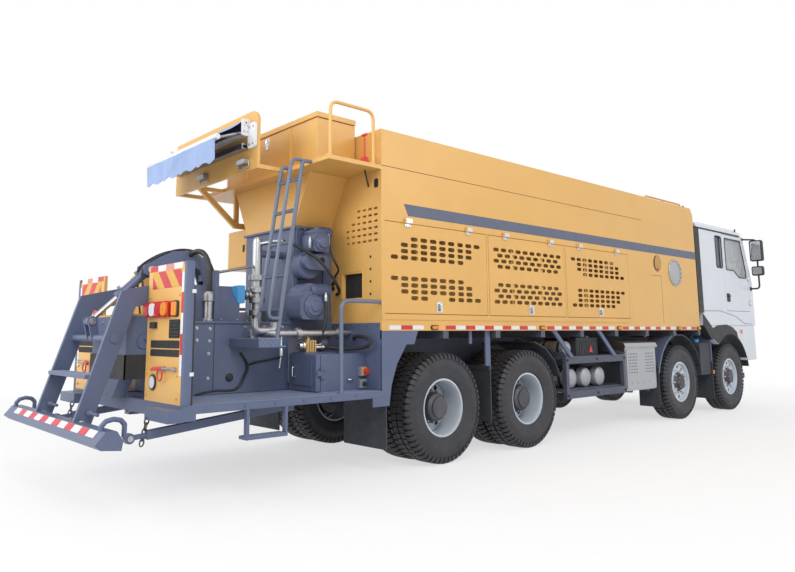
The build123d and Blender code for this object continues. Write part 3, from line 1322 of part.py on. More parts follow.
def grille():
    """The grille panel above the bumper, in front of the cab's nose, with its long slots."""
    front = CAB_NOSE + SEAT_GAP
    panel = box(front, front + GRILLE_T, -GRILLE_HALF, GRILLE_HALF, CAB_BOTTOM, GRILLE_TOP)
    pitch = (GRILLE_TOP - CAB_BOTTOM) / (GRILLE_SLOTS + 0.5)
    for n in range(GRILLE_SLOTS):
        z = CAB_BOTTOM + pitch * (n + 0.5)
        panel -= box(front + 15, front + GRILLE_T + 1, 60 - GRILLE_HALF, GRILLE_HALF - 60, z, z + GRILLE_SLOT_H)
    return panel


def front_bumper():
    """Bumper, corner panels, grille and the wheel wings, one moulding."""
    flat = CAB_HALF - 545
    bend = CAB_HALF - 245
    back = CAB_HALF - 115
    left = [
        (FRAME_FRONT, flat), (FRAME_FRONT - 300, back), (AXLE_1 + 640, back), (AXLE_1 + 640, CAB_HALF),
        (AXLE_1 + 1080, CAB_HALF), (X_FRONT - 60, bend), (X_FRONT, flat),
    ]
    nose = left + [(x, -y) for x, y in reversed(left)]
    bumper = prism_z(nose, BUMPER_BOTTOM, CAB_BOTTOM)
    lip = prism_y([
        (AXLE_4 + 6000, CAB_BOTTOM), (AXLE_1 + 640, CAB_BOTTOM), (AXLE_1 + 640, 1000), (AXLE_1 + 640, 560),
        (AXLE_4 + 6300, 1180), (AXLE_4 + 6250, 1180),
    ], CAB_HALF - 95, CAB_HALF)
    lip -= prism_y(wheel_round(AXLE_1, WING_ARCH_R), bend, CAB_HALF + 1)
    return joined([bumper, grille(), *both_sides(lip)])


def wheel_round(x, radius):
    """An (x, z) outline round a wheel's centre, with FLATS sides."""
    turns = [2 * math.pi * n / FLATS for n in range(FLATS)]
    return [(x + radius * math.cos(a), TYRE_R + radius * math.sin(a)) for a in turns]


MIRROR_Y = CAB_HALF + 175


def mirrors():
    """Mirror heads on their arms, one assembly each side."""
    x = CAB_NOSE - 200
    high = CAB_ROOF - 190
    low = CAB_BOTTOM + 660
    wall = CAB_HALF + SEAT_GAP
    arm = tube_run([
        (SCREEN_TOP[0], wall, high), (x, MIRROR_Y, high), (x, MIRROR_Y, low), (x - 30, wall, low),
    ], 50, 15)
    head = box(x - 60, x + 60, MIRROR_Y - 110, MIRROR_Y + 110, high - 390, high - 10)
    wide = box(x - 50, x + 50, MIRROR_Y - 100, MIRROR_Y + 100, high - 650, high - 480)
    side = joined([arm, head, wide])
    side -= box(x - 1000, x + 1000, 0, wall, low - 200, high + 200)
    return Compound(both_sides(side))


def at_wheel(shape, x, y):
    """A left-hand wheel piece set at its axle, or its mirror image on the right."""
    if y > 0:
        return Pos(x, y, TYRE_R) * shape
    return Pos(x, y, TYRE_R) * flipped(shape)


def wheel_nodes():
    """Every wheel and knuckle."""
    nodes = {}
    single = (tyre(), front_rim())
    twin = (twin_tyres(), rear_rim())
    hinge = knuckle()
    for number, x in enumerate((AXLE_1, AXLE_2, AXLE_3, AXLE_4), 1):
        steered = number < 3
        rubber, steel = single if steered else twin
        centre = FRONT_WHEEL_Y if steered else REAR_WHEEL_Y
        for side, sign in (("right", -1), ("left", 1)):
            nodes[f"tyre_{number}_{side}"] = at_wheel(rubber, x, sign * centre)
            nodes[f"rim_{number}_{side}"] = at_wheel(steel, x, sign * centre)
            if steered:
                nodes[f"knuckle_{number}_{side}"] = at_wheel(hinge, x, sign * KINGPIN_Y)
    return nodes


def opening_nodes():
    """Doors, hatches and lids."""
    nodes = {
        "bin_lid": bin_lid(),
        "cabinet_door": cabinet_door(),
        "cab_door_left": cab_door(),
        "cab_door_right": flipped(cab_door()),
        "door_glass_left": door_glass(),
        "door_glass_right": flipped(door_glass()),
    }
    for number in range(len(HATCH_STARTS)):
        left = hatch(number)
        nodes[f"hatch_{number + 1}_left"] = left
        nodes[f"hatch_{number + 1}_right"] = flipped(left)
    return nodes


NODES = {
    "chassis_frame": chassis_frame(),
    "axles": axles(),
    "engine": engine(),
    "side_tanks": side_tanks(),
    "mudguards": mudguards(),
    "body_shell": body_shell(),
    "hopper_slopes": hopper_slopes(),
    "water_tank": water_tank(),
    "upper_platform": upper_platform(),
    "guard_rails": guard_rails(),
    "filler_bin": filler_bin(),
    "awning": awning(),
    "awning_cloth": awning_cloth(),
    "mixer": mixer(),
    "mixer_drives": mixer_drives(),
    "process_pipes": process_pipes(),
    "ladder": ladder(),
    "rear_deck": rear_deck(),
    "lamp_plates": lamp_plates(),
    "lamps": lamps(),
    "guard": guard(),
    "cylinder_barrel": cylinder_barrel(),
    "cylinder_rod": cylinder_rod(),
    "cab_shell": cab_shell(),
    "cab_glass": cab_glass(),
    "cab_interior": cab_interior(),
    "front_bumper": front_bumper(),
    "mirrors": mirrors(),
    **wheel_nodes(),
    **opening_nodes(),
}

os.makedirs("parts", exist_ok=True)
for name, shape in NODES.items():
    export_step(shape, f"parts/{name}.step")
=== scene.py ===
import json
import math

import bmesh
import bpy
from mathutils import Matrix, Vector


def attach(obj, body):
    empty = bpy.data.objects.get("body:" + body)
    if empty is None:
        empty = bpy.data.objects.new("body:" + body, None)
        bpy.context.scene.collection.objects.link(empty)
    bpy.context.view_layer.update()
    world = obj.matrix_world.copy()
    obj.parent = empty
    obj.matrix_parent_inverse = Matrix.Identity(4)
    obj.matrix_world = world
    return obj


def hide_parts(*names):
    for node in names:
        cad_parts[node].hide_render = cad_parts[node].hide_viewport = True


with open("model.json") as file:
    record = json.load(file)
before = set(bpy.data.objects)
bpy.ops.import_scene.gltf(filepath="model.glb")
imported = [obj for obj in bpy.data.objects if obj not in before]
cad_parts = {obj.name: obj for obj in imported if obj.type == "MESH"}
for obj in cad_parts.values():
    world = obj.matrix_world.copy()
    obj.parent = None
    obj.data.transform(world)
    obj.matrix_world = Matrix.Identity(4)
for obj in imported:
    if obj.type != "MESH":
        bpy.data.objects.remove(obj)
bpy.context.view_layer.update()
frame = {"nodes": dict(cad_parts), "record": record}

NODES = frame["nodes"]
scene = bpy.context.scene
LAST_AXLE = -2.4625  # its x in the frame; the places below are measured from it, in metres
BODY_SIDE = 1.25
CAB_SIDE = 1.245
REAR_WALL = -0.89
DECK_TOP = 0.77
WHEEL_R = 0.55
MIRROR_X, MIRROR_Y = 8.03, 1.4
RISER = (-1.64, -0.25)
AXES = {
    "+x": Vector((1, 0, 0)), "-x": Vector((-1, 0, 0)), "+y": Vector((0, 1, 0)),
    "-y": Vector((0, -1, 0)), "+z": Vector((0, 0, 1)), "-z": Vector((0, 0, -1)),
}


# Materials

def new_material(name, colour, rough, metal=0.0):
    """A material with its constants on the shader, and the nodes to build on."""
    mat = bpy.data.materials.new(name)
    mat.use_nodes = True
    tree = mat.node_tree
    shader = tree.nodes["Principled BSDF"]
    shader.inputs["Base Color"].default_value = (*colour, 1)
    shader.inputs["Roughness"].default_value = rough
    shader.inputs["Metallic"].default_value = metal
    mat.diffuse_color = (*colour, 1)
    return mat, tree, shader


def noise(tree, scale, detail, rough=0.55):
    """A noise value in object space, metres."""
    coord = tree.nodes.new("ShaderNodeTexCoord")
    tex = tree.nodes.new("ShaderNodeTexNoise")
    tex.inputs["Scale"].default_value = scale
    tex.inputs["Detail"].default_value = detail
    tex.inputs["Roughness"].default_value = rough
    tree.links.new(coord.outputs["Object"], tex.inputs["Vector"])
    return tex.outputs["Fac"]


def cells(tree, scale):
    """Distance to the edge of small cells, for a prismatic film."""
    coord = tree.nodes.new("ShaderNodeTexCoord")
    tex = tree.nodes.new("ShaderNodeTexVoronoi")
    tex.inputs["Scale"].default_value = scale
    tree.links.new(coord.outputs["Object"], tex.inputs["Vector"])
    return tex.outputs["Distance"]


def remap(tree, value, low, high, new_low, new_high):
    """The value mapped from one range to another, clamped."""
    node = tree.nodes.new("ShaderNodeMapRange")
    node.inputs["From Min"].default_value = low
    node.inputs["From Max"].default_value = high
    node.inputs["To Min"].default_value = new_low
    node.inputs["To Max"].default_value = new_high
    tree.links.new(value, node.inputs["Value"])
    return node.outputs["Result"]


def math_node(tree, operation, first, second=None):
    """One arithmetic step on values or sockets."""
    node = tree.nodes.new("ShaderNodeMath")
    node.operation = operation
    for socket, value in zip(node.inputs, (first, second)):
        if value is None:
            continue
        if isinstance(value, (int, float)):
            socket.default_value = value
        else:
            tree.links.new(value, socket)
    return node.outputs["Value"]


def mix(tree, fac, first, second):
    """A colour mix by a factor socket."""
    node = tree.nodes.new("ShaderNodeMix")
    node.data_type = "RGBA"
    tree.links.new(fac, node.inputs["Factor"])
    for socket, value in ((node.inputs[6], first), (node.inputs[7], second)):
        if isinstance(value, tuple):
            socket.default_value = (*value, 1)
        else:
            tree.links.new(value, socket)
    return node.outputs[2]


def bump(tree, shader, height, strength, distance):
    """A bump on the shader's normal."""
    node = tree.nodes.new("ShaderNodeBump")
    node.inputs["Strength"].default_value = strength
    node.inputs["Distance"].default_value = distance
    tree.links.new(height, node.inputs["Height"])
    tree.links.new(node.outputs["Normal"], shader.inputs["Normal"])


def height_fac(tree, low, high):
    """1 at or below the low height, 0 at or above the high one."""
    coord = tree.nodes.new("ShaderNodeTexCoord")
    split = tree.nodes.new("ShaderNodeSeparateXYZ")
    tree.links.new(coord.outputs["Object"], split.inputs["Vector"])
    return remap(tree, split.outputs["Z"], low, high, 1, 0)


def shade(colour, k):
    """A colour made darker or lighter."""
    return tuple(min(1.0, c * k) for c in colour)


DUST = (0.3, 0.27, 0.23)
TREAD_CELL = 0.036
GLASS_ROUGH = 0.03


def painted(name, colour, rough, metal=0.0, *, dust, low=0.3, high=1.9):
    """Sprayed paint: cloudy tone, dust that grows towards the ground, and a fine peel."""
    mat, tree, shader = new_material(name, colour, rough, metal)
    cloud = remap(tree, noise(tree, 1.7, 5), 0.3, 0.7, 0, 1)
    tone = mix(tree, cloud, shade(colour, 0.96), shade(colour, 1.03))
    patch = remap(tree, noise(tree, 6.0, 8, 0.65), 0.42, 0.72, 0, 1)
    near_ground = math_node(tree, "MULTIPLY", height_fac(tree, low, high), dust * 2)
    spread = math_node(tree, "MULTIPLY", patch, math_node(tree, "ADD", near_ground, dust * 0.25))
    tree.links.new(mix(tree, spread, tone, DUST), shader.inputs["Base Color"])
    tree.links.new(remap(tree, spread, 0, 0.6, rough, min(0.95, rough + 0.4)), shader.inputs["Roughness"])
    bump(tree, shader, noise(tree, 260, 2), 0.16, 0.0006)
    return mat


def rough_stuff(name, colour, rough, grain=140, depth=0.0015, metal=0.0, vary=0.25):
    """Rubber, plastic or cast metal with a visible grain."""
    mat, tree, shader = new_material(name, colour, rough, metal)
    cloud = remap(tree, noise(tree, 5, 6), 0.3, 0.7, 0, 1)
    tone = mix(tree, cloud, shade(colour, 1 - vary), shade(colour, 1 + vary))
    tree.links.new(tone, shader.inputs["Base Color"])
    wear = remap(tree, noise(tree, 30, 4), 0.3, 0.7, rough - 0.12, min(1, rough + 0.08))
    tree.links.new(wear, shader.inputs["Roughness"])
    bump(tree, shader, noise(tree, grain, 3), 0.5, depth)
    return mat


def bare_metal(name, colour, rough, scale=60):
    """Metal with fine rubbed streaks."""
    mat, tree, shader = new_material(name, colour, rough, 1.0)
    streak = noise(tree, scale, 5, 0.6)
    tone = mix(tree, remap(tree, streak, 0.3, 0.7, 0, 1), shade(colour, 0.8), colour)
    tree.links.new(tone, shader.inputs["Base Color"])
    tree.links.new(remap(tree, streak, 0.3, 0.7, rough - 0.08, rough + 0.14), shader.inputs["Roughness"])
    bump(tree, shader, streak, 0.08, 0.001)
    return mat


def film(name, colour, rough=0.3):
    """Reflective film or a lamp lens: small prisms under a smooth face."""
    mat, tree, shader = new_material(name, colour, rough)
    prism = remap(tree, cells(tree, 210), 0.0, 0.6, 0, 1)
    tree.links.new(mix(tree, prism, shade(colour, 1.12), shade(colour, 0.82)), shader.inputs["Base Color"])
    worn = remap(tree, noise(tree, 12, 4), 0.3, 0.7, rough - 0.08, rough + 0.15)
    tree.links.new(worn, shader.inputs["Roughness"])
    bump(tree, shader, prism, 0.25, 0.0006)
    return mat


def tread_plate(name, colour, upright=False):
    """Raised lens marks that turn a quarter from cell to cell, painted lighter as a highlight."""
    mat, tree, shader = new_material(name, colour, 0.5, 0.1)
    coord = tree.nodes.new("ShaderNodeTexCoord")
    mapping = tree.nodes.new("ShaderNodeMapping")
    mapping.inputs["Rotation"].default_value = (-math.pi / 2 if upright else 0, 0, math.pi / 4)
    mapping.inputs["Scale"].default_value = (1 / TREAD_CELL,) * 3
    split = tree.nodes.new("ShaderNodeSeparateXYZ")
    tree.links.new(coord.outputs["Object"], mapping.inputs["Vector"])
    tree.links.new(mapping.outputs["Vector"], split.inputs["Vector"])
    u, v = split.outputs["X"], split.outputs["Y"]
    cell = math_node(tree, "ADD", math_node(tree, "FLOOR", u), math_node(tree, "FLOOR", v))
    turn = math_node(tree, "FLOORED_MODULO", cell, 2)
    fu = math_node(tree, "ABSOLUTE", math_node(tree, "SUBTRACT", math_node(tree, "FRACT", u), 0.5))
    fv = math_node(tree, "ABSOLUTE", math_node(tree, "SUBTRACT", math_node(tree, "FRACT", v), 0.5))

    def lens(along, across):
        """An oval about the cell's middle."""
        far = math_node(tree, "POWER", math_node(tree, "DIVIDE", along, 0.47), 2)
        near = math_node(tree, "POWER", math_node(tree, "DIVIDE", across, 0.15), 2)
        return math_node(tree, "ADD", far, near)

    one = math_node(tree, "MULTIPLY", lens(fu, fv), turn)
    other = math_node(tree, "MULTIPLY", lens(fv, fu), math_node(tree, "SUBTRACT", 1, turn))
    raised = remap(tree, math_node(tree, "ADD", one, other), 0.6, 1.1, 1, 0)
    worn = remap(tree, noise(tree, 4, 6), 0.35, 0.7, 0, 1)
    base = mix(tree, worn, shade(colour, 0.85), shade(colour, 1.1))
    # painted highlight: the raised marks are drawn lighter, as if catching the light
    lit = mix(tree, math_node(tree, "MULTIPLY", raised, 0.45), base, shade(colour, 1.6))
    tree.links.new(lit, shader.inputs["Base Color"])
    bump(tree, shader, raised, 0.7, 0.002)
    return mat


def clear(name, colour, alpha):
    """Tinted glass that lets the inside show."""
    mat, tree, shader = new_material(name, colour, GLASS_ROUGH)
    shader.inputs["Alpha"].default_value = alpha
    shader.inputs["Specular IOR Level"].default_value = 0.7
    haze = remap(tree, noise(tree, 3, 5), 0.35, 0.75, GLASS_ROUGH, GLASS_ROUGH + 0.06)
    tree.links.new(haze, shader.inputs["Roughness"])
    return mat


M = {
    "yellow": painted("yellow_paint_fine", (0.69, 0.395, 0.112), 0.32, dust=0.03),
    # darker yellow: painted shade for the inside of the gauge niche, with dust
    "yellow_shaded": painted("yellow_shade_and_dust", (0.46, 0.27, 0.08), 0.55, dust=0.2, low=1.2, high=3.4),
    "slate": painted("slate_paint_fine", (0.092, 0.118, 0.205), 0.4, dust=0.04),
    "frame": painted("frame_paint_fine", (0.058, 0.07, 0.108), 0.5, dust=0.07),
    "white": painted("cab_paint_fine", (0.64, 0.675, 0.735), 0.22, dust=0.03),
    "black": rough_stuff("black_plastic_fine", (0.022, 0.023, 0.025), 0.62),
    "inside": rough_stuff("interior_fine", (0.07, 0.07, 0.075), 0.7),
    "wheel": painted("wheel_paint_fine", (0.54, 0.59, 0.66), 0.4, 0.2, dust=0.08, low=0.0, high=1.2),
    "tyre": rough_stuff("tyre_rubber_fine", (0.028, 0.029, 0.035), 0.62, 220, 0.001),
    "iron": rough_stuff("cast_iron_fine", (0.1, 0.1, 0.11), 0.6, 160, 0.001, 0.7),
    "alu": bare_metal("aluminium_fine", (0.47, 0.48, 0.5), 0.36),
    "chrome": bare_metal("chrome_fine", (0.78, 0.78, 0.8), 0.12),
    "glass": clear("glass_fine", (0.06, 0.08, 0.1), 0.62),
    # pale door glass: painted light for the brightness seen through the window
    "pane": clear("door_pane", (0.74, 0.77, 0.79), 0.34),
    "cloth": rough_stuff("awning_fabric_fine", (0.28, 0.37, 0.58), 0.9, 700, 0.0006, vary=0.1),
    # dark copy of the awning fabric: painted shade for the sheet's inner face
    "cloth_in": rough_stuff("awning_fabric_shaded", (0.045, 0.065, 0.17), 0.9, 700, 0.0006, vary=0.1),
    "red": film("lamp_red_fine", (0.55, 0.02, 0.025), 0.2),
    "tube": painted("tube_paint_fine", (0.125, 0.15, 0.22), 0.38, dust=0.05),
    "deck": tread_plate("deck_plate", (0.22, 0.27, 0.4)),
    # half the deck plate's colour: painted shade for upright faces
    "chequer": tread_plate("upright_plate_shaded", (0.11, 0.14, 0.22), upright=True),
    "rubber": rough_stuff("flap_rubber", (0.034, 0.038, 0.048), 0.7, 180, 0.001),
    "chevron": film("chevron_yellow", (0.7, 0.4, 0.05)),
    "tape_red": film("tape_red", (0.6, 0.03, 0.045)),
    "tape_pale": film("tape_pale", (0.7, 0.26, 0.24)),
    "tape_white": film("tape_white", (0.8, 0.8, 0.82)),
    "stripe": film("stripe_film", (0.105, 0.125, 0.185), 0.4),
    "amber": film("lamp_amber", (0.8, 0.27, 0.02), 0.2),
    "lens": film("lamp_clear", (0.72, 0.74, 0.78), 0.15),
    "sky": painted("meter_blue", (0.05, 0.3, 0.62), 0.35, dust=0.1),
    "hose": rough_stuff("hose_rubber", (0.02, 0.02, 0.022), 0.6, 300, 0.0008),
    "brass": bare_metal("brass_fitting", (0.62, 0.45, 0.22), 0.34),
    "steel": bare_metal("galvanised_steel", (0.5, 0.51, 0.53), 0.4, scale=25),
    # near-black: painted shade inside openings, holes and gaps
    "dark": rough_stuff("dark_opening_shade", (0.012, 0.012, 0.013), 0.8),
    "seam": rough_stuff("seam_shadow", (0.17, 0.09, 0.025), 0.8),
    "seat": rough_stuff("seat_fabric", (0.055, 0.058, 0.066), 0.95, 900, 0.0008),
    "signal": painted("signal_red", (0.58, 0.03, 0.03), 0.35, dust=0.05),
    "tank": painted("air_tank_grey", (0.36, 0.38, 0.41), 0.35, 0.3, dust=0.2),
    "lug": painted("lug_grey", (0.24, 0.27, 0.33), 0.45, dust=0.15),
}

SLOT_LOOK = {
    "yellow_paint": "yellow", "slate_paint": "slate", "frame_paint": "frame", "cab_white": "white",
    "black_plastic": "black", "interior_plastic": "inside", "wheel_grey": "wheel", "tyre_rubber": "tyre",
    "cast_iron": "iron", "aluminium": "alu", "glass": "glass", "awning_fabric": "cloth", "lamp_red": "red",
    "chrome": "chrome", "tube_paint": "tube",
}
NODE_LOOK = {"mudguards": "rubber", "door_glass_left": "pane", "door_glass_right": "pane"}
for entry in frame["record"]["subparts"]:
    node = NODES[entry["node"]]
    node.material_slots[0].material = M[NODE_LOOK.get(entry["node"], SLOT_LOOK[entry["material_slot"]])]


# Forms

def circle(u, v, radius, sides=24):
    """A round outline."""
    turns = [2 * math.pi * n / sides for n in range(sides)]
    return [(u + radius * math.cos(a), v + radius * math.sin(a)) for a in turns]


def arc(u, v, radius, first, last, steps=6):
    """Points of an arc, angles in degrees."""
    angles = [math.radians(first + (last - first) * n / steps) for n in range(steps + 1)]
    return [(u + radius * math.cos(a), v + radius * math.sin(a)) for a in angles]


def obround(u, v, length, height):
    """A slot outline with half-round ends."""
    r = height / 2
    reach = length / 2 - r
    return arc(u + reach, v, r, -90, 90, 5) + arc(u - reach, v, r, 90, 270, 5)


def soft_rect(u0, v0, u1, v1, radius):
    """A rectangle with rounded corners."""
    u0, v0, u1, v1 = u0 + radius, v0 + radius, u1 - radius, v1 - radius
    outline = []
    for n, (u, v) in enumerate(((u1, v0), (u1, v1), (u0, v1), (u0, v0))):
        outline += arc(u, v, radius, 90 * n - 90, 90 * n, 4)
    return outline


def rounded(points, bend, steps=6):
    """A path with its corners rounded."""
    corners = [Vector(p) for p in points]
    line = [corners[0]]
    for before, corner, after in zip(corners, corners[1:], corners[2:]):
        back, ahead = before - corner, after - corner
        reach = bend / math.tan(back.angle(ahead) / 2)
        reach = min(reach, back.length * 0.49, ahead.length * 0.49)
        start = corner + back.normalized() * reach
        end = corner + ahead.normalized() * reach
        for n in range(steps + 1):
            t = n / steps
            line.append(start.lerp(corner, t).lerp(corner.lerp(end, t), t))
    return line + [corners[-1]]


def rings_along(path, radius, sides, closed=False):
    """Round sections along a path, turned as little as possible."""
    points = [Vector(p) for p in path]
    rings = []
    side = None
    for n, point in enumerate(points):
        before = points[n - 1] if n or closed else point
        after = points[(n + 1) % len(points)] if n + 1 < len(points) or closed else point
        tangent = (after - before).normalized()
        side = tangent.orthogonal() if side is None else side - tangent * side.dot(tangent)
        side.normalize()
        up = tangent.cross(side)
        turns = [2 * math.pi * k / sides for k in range(sides)]
        rings.append([point + (side * math.cos(a) + up * math.sin(a)) * radius for a in turns])
    return rings


def direction(axis):
    """The unit vector of an axis, given as a sign with a letter or as a vector."""
    return AXES[axis] if isinstance(axis, str) else Vector(axis).normalized()


class Kit:
    """One piece built from simple forms, in metres from the last axle's point on the ground."""

    def __init__(self, origin=(0, 0, 0), flip=1):
        self.origin = Vector(origin) + Vector((LAST_AXLE, 0, 0))
        self.flip = flip
        self.points, self.faces, self.looks, self.names = [], [], [], []

    def sides(self):
        """Left, then right: what is added meanwhile is mirrored on the right."""
        for flip in (1, -1):
            self.flip = flip
            yield flip
        self.flip = 1

    def add(self, points, faces, look):
        """Points and faces, with one look."""
        first = len(self.points)
        if look not in self.names:
            self.names.append(look)
        ox, oy, oz = self.origin
        self.points.extend((x + ox, y * self.flip + oy, z + oz) for x, y, z in points)
        self.faces.extend([first + n for n in face] for face in faces)
        self.looks.extend([self.names.index(look)] * len(faces))

    def loft(self, rings, look, closed=False):
        """Faces between rings of equal count, with the ends capped unless the rings close."""
        count = len(rings[0])
        points = [p for ring in rings for p in ring]
        faces = []
        for n in range(len(rings) if closed else len(rings) - 1):
            a, b = n * count, (n + 1) % len(rings) * count
            for k in range(count):
                m = (k + 1) % count
                faces.append((a + k, a + m, b + m, b + k))
        if not closed:
            faces.append(tuple(range(count)))
            faces.append(tuple(range(len(points) - count, len(points))))
        self.add(points, faces, look)

    def prism(self, outline, axis, a, b, look):
        """An outline drawn out along an axis: (y, z) for x, (x, z) for y, (x, y) for z."""
        place = {"x": (2, 0, 1), "y": (0, 2, 1), "z": (0, 1, 2)}[axis]
        rings = []
        for w in (a, b):
            rings.append([tuple((u, v, w)[k] for k in place) for u, v in outline])
        self.loft(rings, look)

    def box(self, x0, x1, y0, y1, z0, z1, look):
        """A block between two corners."""
        self.prism([(x0, y0), (x1, y0), (x1, y1), (x0, y1)], "z", z0, z1, look)

    def rod(self, start, end, radius, look, sides=20):
        """A round bar."""
        self.loft(rings_along([start, end], radius, sides), look)

    def tube(self, path, radius, look, bend=0.05, sides=14):
        """A bent tube."""
        self.loft(rings_along(rounded(path, bend), radius, sides), look)

    def loop(self, path, radius, look, sides=10):
        """A closed ring along a path."""
        self.loft(rings_along(path, radius, sides, True), look, True)

    def lathe(self, centre, axis, profile, look, sides=32, closed=False):
        """A turned form through (radius, distance along the axis) stations."""
        axis = direction(axis)
        side = axis.orthogonal().normalized()
        up = axis.cross(side)
        turns = [2 * math.pi * k / sides for k in range(sides)]
        rings = []
        for radius, far in profile:
            middle = Vector(centre) + axis * far
            radius = max(radius, 1e-4)
            rings.append([middle + (side * math.cos(a) + up * math.sin(a)) * radius for a in turns])
        self.loft(rings, look, closed)

    def bolts(self, places, normal, size, look="steel"):
        """Hexagon heads on washers."""
        normal = direction(normal)
        for place in places:
            place = Vector(place)
            self.rod(place, place + normal * size * 0.25, size * 1.35, look, 12)
            self.rod(place, place + normal * size * 0.95, size, look, 6)

    def bolt_circle(self, centre, normal, radius, count, size, look="steel"):
        """Bolts evenly round a centre, their axis given as a sign with a letter."""
        u, v = {"x": (1, 2), "y": (0, 2), "z": (0, 1)}[normal[1]]
        places = []
        for n in range(count):
            angle = 2 * math.pi * n / count
            place = list(centre)
            place[u] += radius * math.cos(angle)
            place[v] += radius * math.sin(angle)
            places.append(place)
        self.bolts(places, normal, size, look)

    def plate(self, origin, across, up, outline, holes, thick, look):
        """A flat plate with holes, its face at the origin and its thickness along across x up."""
        curve = bpy.data.curves.new("cut", "CURVE")
        curve.dimensions = "2D"
        curve.fill_mode = "BOTH"
        curve.extrude = thick / 2
        for outline_or_hole in (outline, *holes):
            spline = curve.splines.new("POLY")
            spline.points.add(len(outline_or_hole) - 1)
            for point, (u, v) in zip(spline.points, outline_or_hole):
                point.co = (u, v, 0, 1)
            spline.use_cyclic_u = True
        cut = bpy.data.objects.new("cut", curve)
        mesh = bpy.data.meshes.new_from_object(cut)
        welded = bmesh.new()
        welded.from_mesh(mesh)
        bmesh.ops.remove_doubles(welded, verts=welded.verts, dist=1e-5)
        welded.verts.index_update()
        origin, across, up = Vector(origin), Vector(across), Vector(up)
        inward = across.cross(up)
        places = []
        for vert in welded.verts:
            u, v, w = vert.co
            places.append(origin + across * u + up * v + inward * (w + thick / 2))
        self.add(places, [[vert.index for vert in face.verts] for face in welded.faces], look)
        welded.free()
        bpy.data.objects.remove(cut)
        bpy.data.meshes.remove(mesh)
        bpy.data.curves.remove(curve)

    def build(self, name, body="chassis", bevel=0.0, replaces=(), angle=35):
        """The piece as an object that rides a body."""
        mesh = bpy.data.meshes.new(name)
        mesh.from_pydata(self.points, [], self.faces)
        for look in self.names:
            mesh.materials.append(M[look])
        mesh.polygons.foreach_set("material_index", self.looks)
        welded = bmesh.new()
        welded.from_mesh(mesh)
        bmesh.ops.recalc_face_normals(welded, faces=welded.faces)
        welded.to_mesh(mesh)
        welded.free()
        mesh.shade_smooth()
        mesh.set_sharp_from_angle(angle=math.radians(angle))
        obj = bpy.data.objects.new(name, mesh)
        scene.collection.objects.link(obj)
        if bevel:
            soften(obj, bevel)
        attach(obj, body)
        if replaces:
            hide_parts(*replaces)
        return obj


def soften(obj, width, angle=40):
    """Small rounded edges."""
    edges = obj.modifiers.new("edges", "BEVEL")
    edges.width = width
    edges.segments = 2
    edges.limit_method = "ANGLE"
    edges.angle_limit = math.radians(angle)
    edges.harden_normals = True


def hoses(name, routes, radius):
    """Bent hoses and cables clamped at both ends, as one curve."""
    data = bpy.data.curves.new(name, "CURVE")
    data.dimensions = "3D"
    data.bevel_depth = radius
    data.bevel_resolution = 3
    data.resolution_u = 5
    data.use_fill_caps = True
    for route in routes:
        spline = data.splines.new("NURBS")
        spline.points.add(len(route) - 1)
        for point, (x, y, z) in zip(spline.points, route):
            point.co = (x + LAST_AXLE, y, z, 1)
        spline.order_u = 3
        spline.use_endpoint_u = True
    data.materials.append(M["hose"])
    obj = bpy.data.objects.new(name, data)
    scene.collection.objects.link(obj)
    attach(obj, "chassis")


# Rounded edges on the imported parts

SOFT_EDGES = {
    "body_shell": 0.004, "water_tank": 0.006, "upper_platform": 0.004, "filler_bin": 0.004,
    "bin_lid": 0.006,
    "mixer": 0.005, "rear_deck": 0.003, "lamp_plates": 0.003, "guard": 0.005, "cab_shell": 0.01,
    "front_bumper": 0.015, "cabinet_door": 0.005, "cab_door_left": 0.003, "cab_door_right": 0.003,
    "mudguards": 0.004, "chassis_frame": 0.003, "awning": 0.004,
}
for name, width in SOFT_EDGES.items():
    weld = NODES[name].modifiers.new("weld", "WELD")
    weld.merge_threshold = 0.00002
    soften(NODES[name], width, 22 if name == "cab_shell" else 32)


# Wheels

AXLES = {1: 6.975, 2: 5.175, 3: 1.4, 4: 0.0}
TREAD_PITCHES = 54


def tyre(kit, y):
    """A tyre with shoulder lugs and two middle ribs of blocks."""
    half = [(0.287, 0.112), (0.3, 0.13), (0.34, 0.143), (0.395, 0.149), (0.402, 0.151), (0.44, 0.151),
            (0.447, 0.1485), (0.48, 0.144), (0.505, 0.136), (0.526, 0.118), (0.529, 0.06)]
    profile = [(r, -w) for r, w in half] + [(r, w) for r, w in reversed(half)]
    kit.lathe((0, y, 0), "+y", profile, "tyre", 72, True)
    lug = [(0.522, 0.08), (0.549, 0.08), (0.545, 0.122), (0.516, 0.148), (0.488, 0.15), (0.488, 0.13)]
    rib = [(0.522, 0.01), (0.5495, 0.01), (0.5495, 0.07), (0.522, 0.07)]
    step = 2 * math.pi / TREAD_PITCHES
    for n in range(TREAD_PITCHES):
        for outline, shift, share in ((lug, 0, 0.66), (rib, 0.35, 0.84)):
            for way in (1, -1):
                first = (n + shift * way) * step
                rings = []
                lean = 0.0 if outline is lug else 0.01 * way
                for turn in (first + lean, first + step * share + lean):
                    across, along = math.cos(turn), math.sin(turn)
                    rings.append([(r * across, y + w * way, r * along) for r, w in outline])
                kit.loft(rings, "tyre")


def barrel(kit, a, b):
    """A rim's barrel between two faces."""
    kit.lathe((0, 0, 0), "+y", [
        (0.288, a + 0.014), (0.288, b - 0.014), (0.306, b - 0.009), (0.307, b - 0.003), (0.302, b),
        (0.272, b), (0.264, b - 0.02), (0.262, b - 0.05), (0.262, a + 0.05), (0.272, a), (0.302, a),
        (0.306, a + 0.009),
    ], "wheel", 48, True)


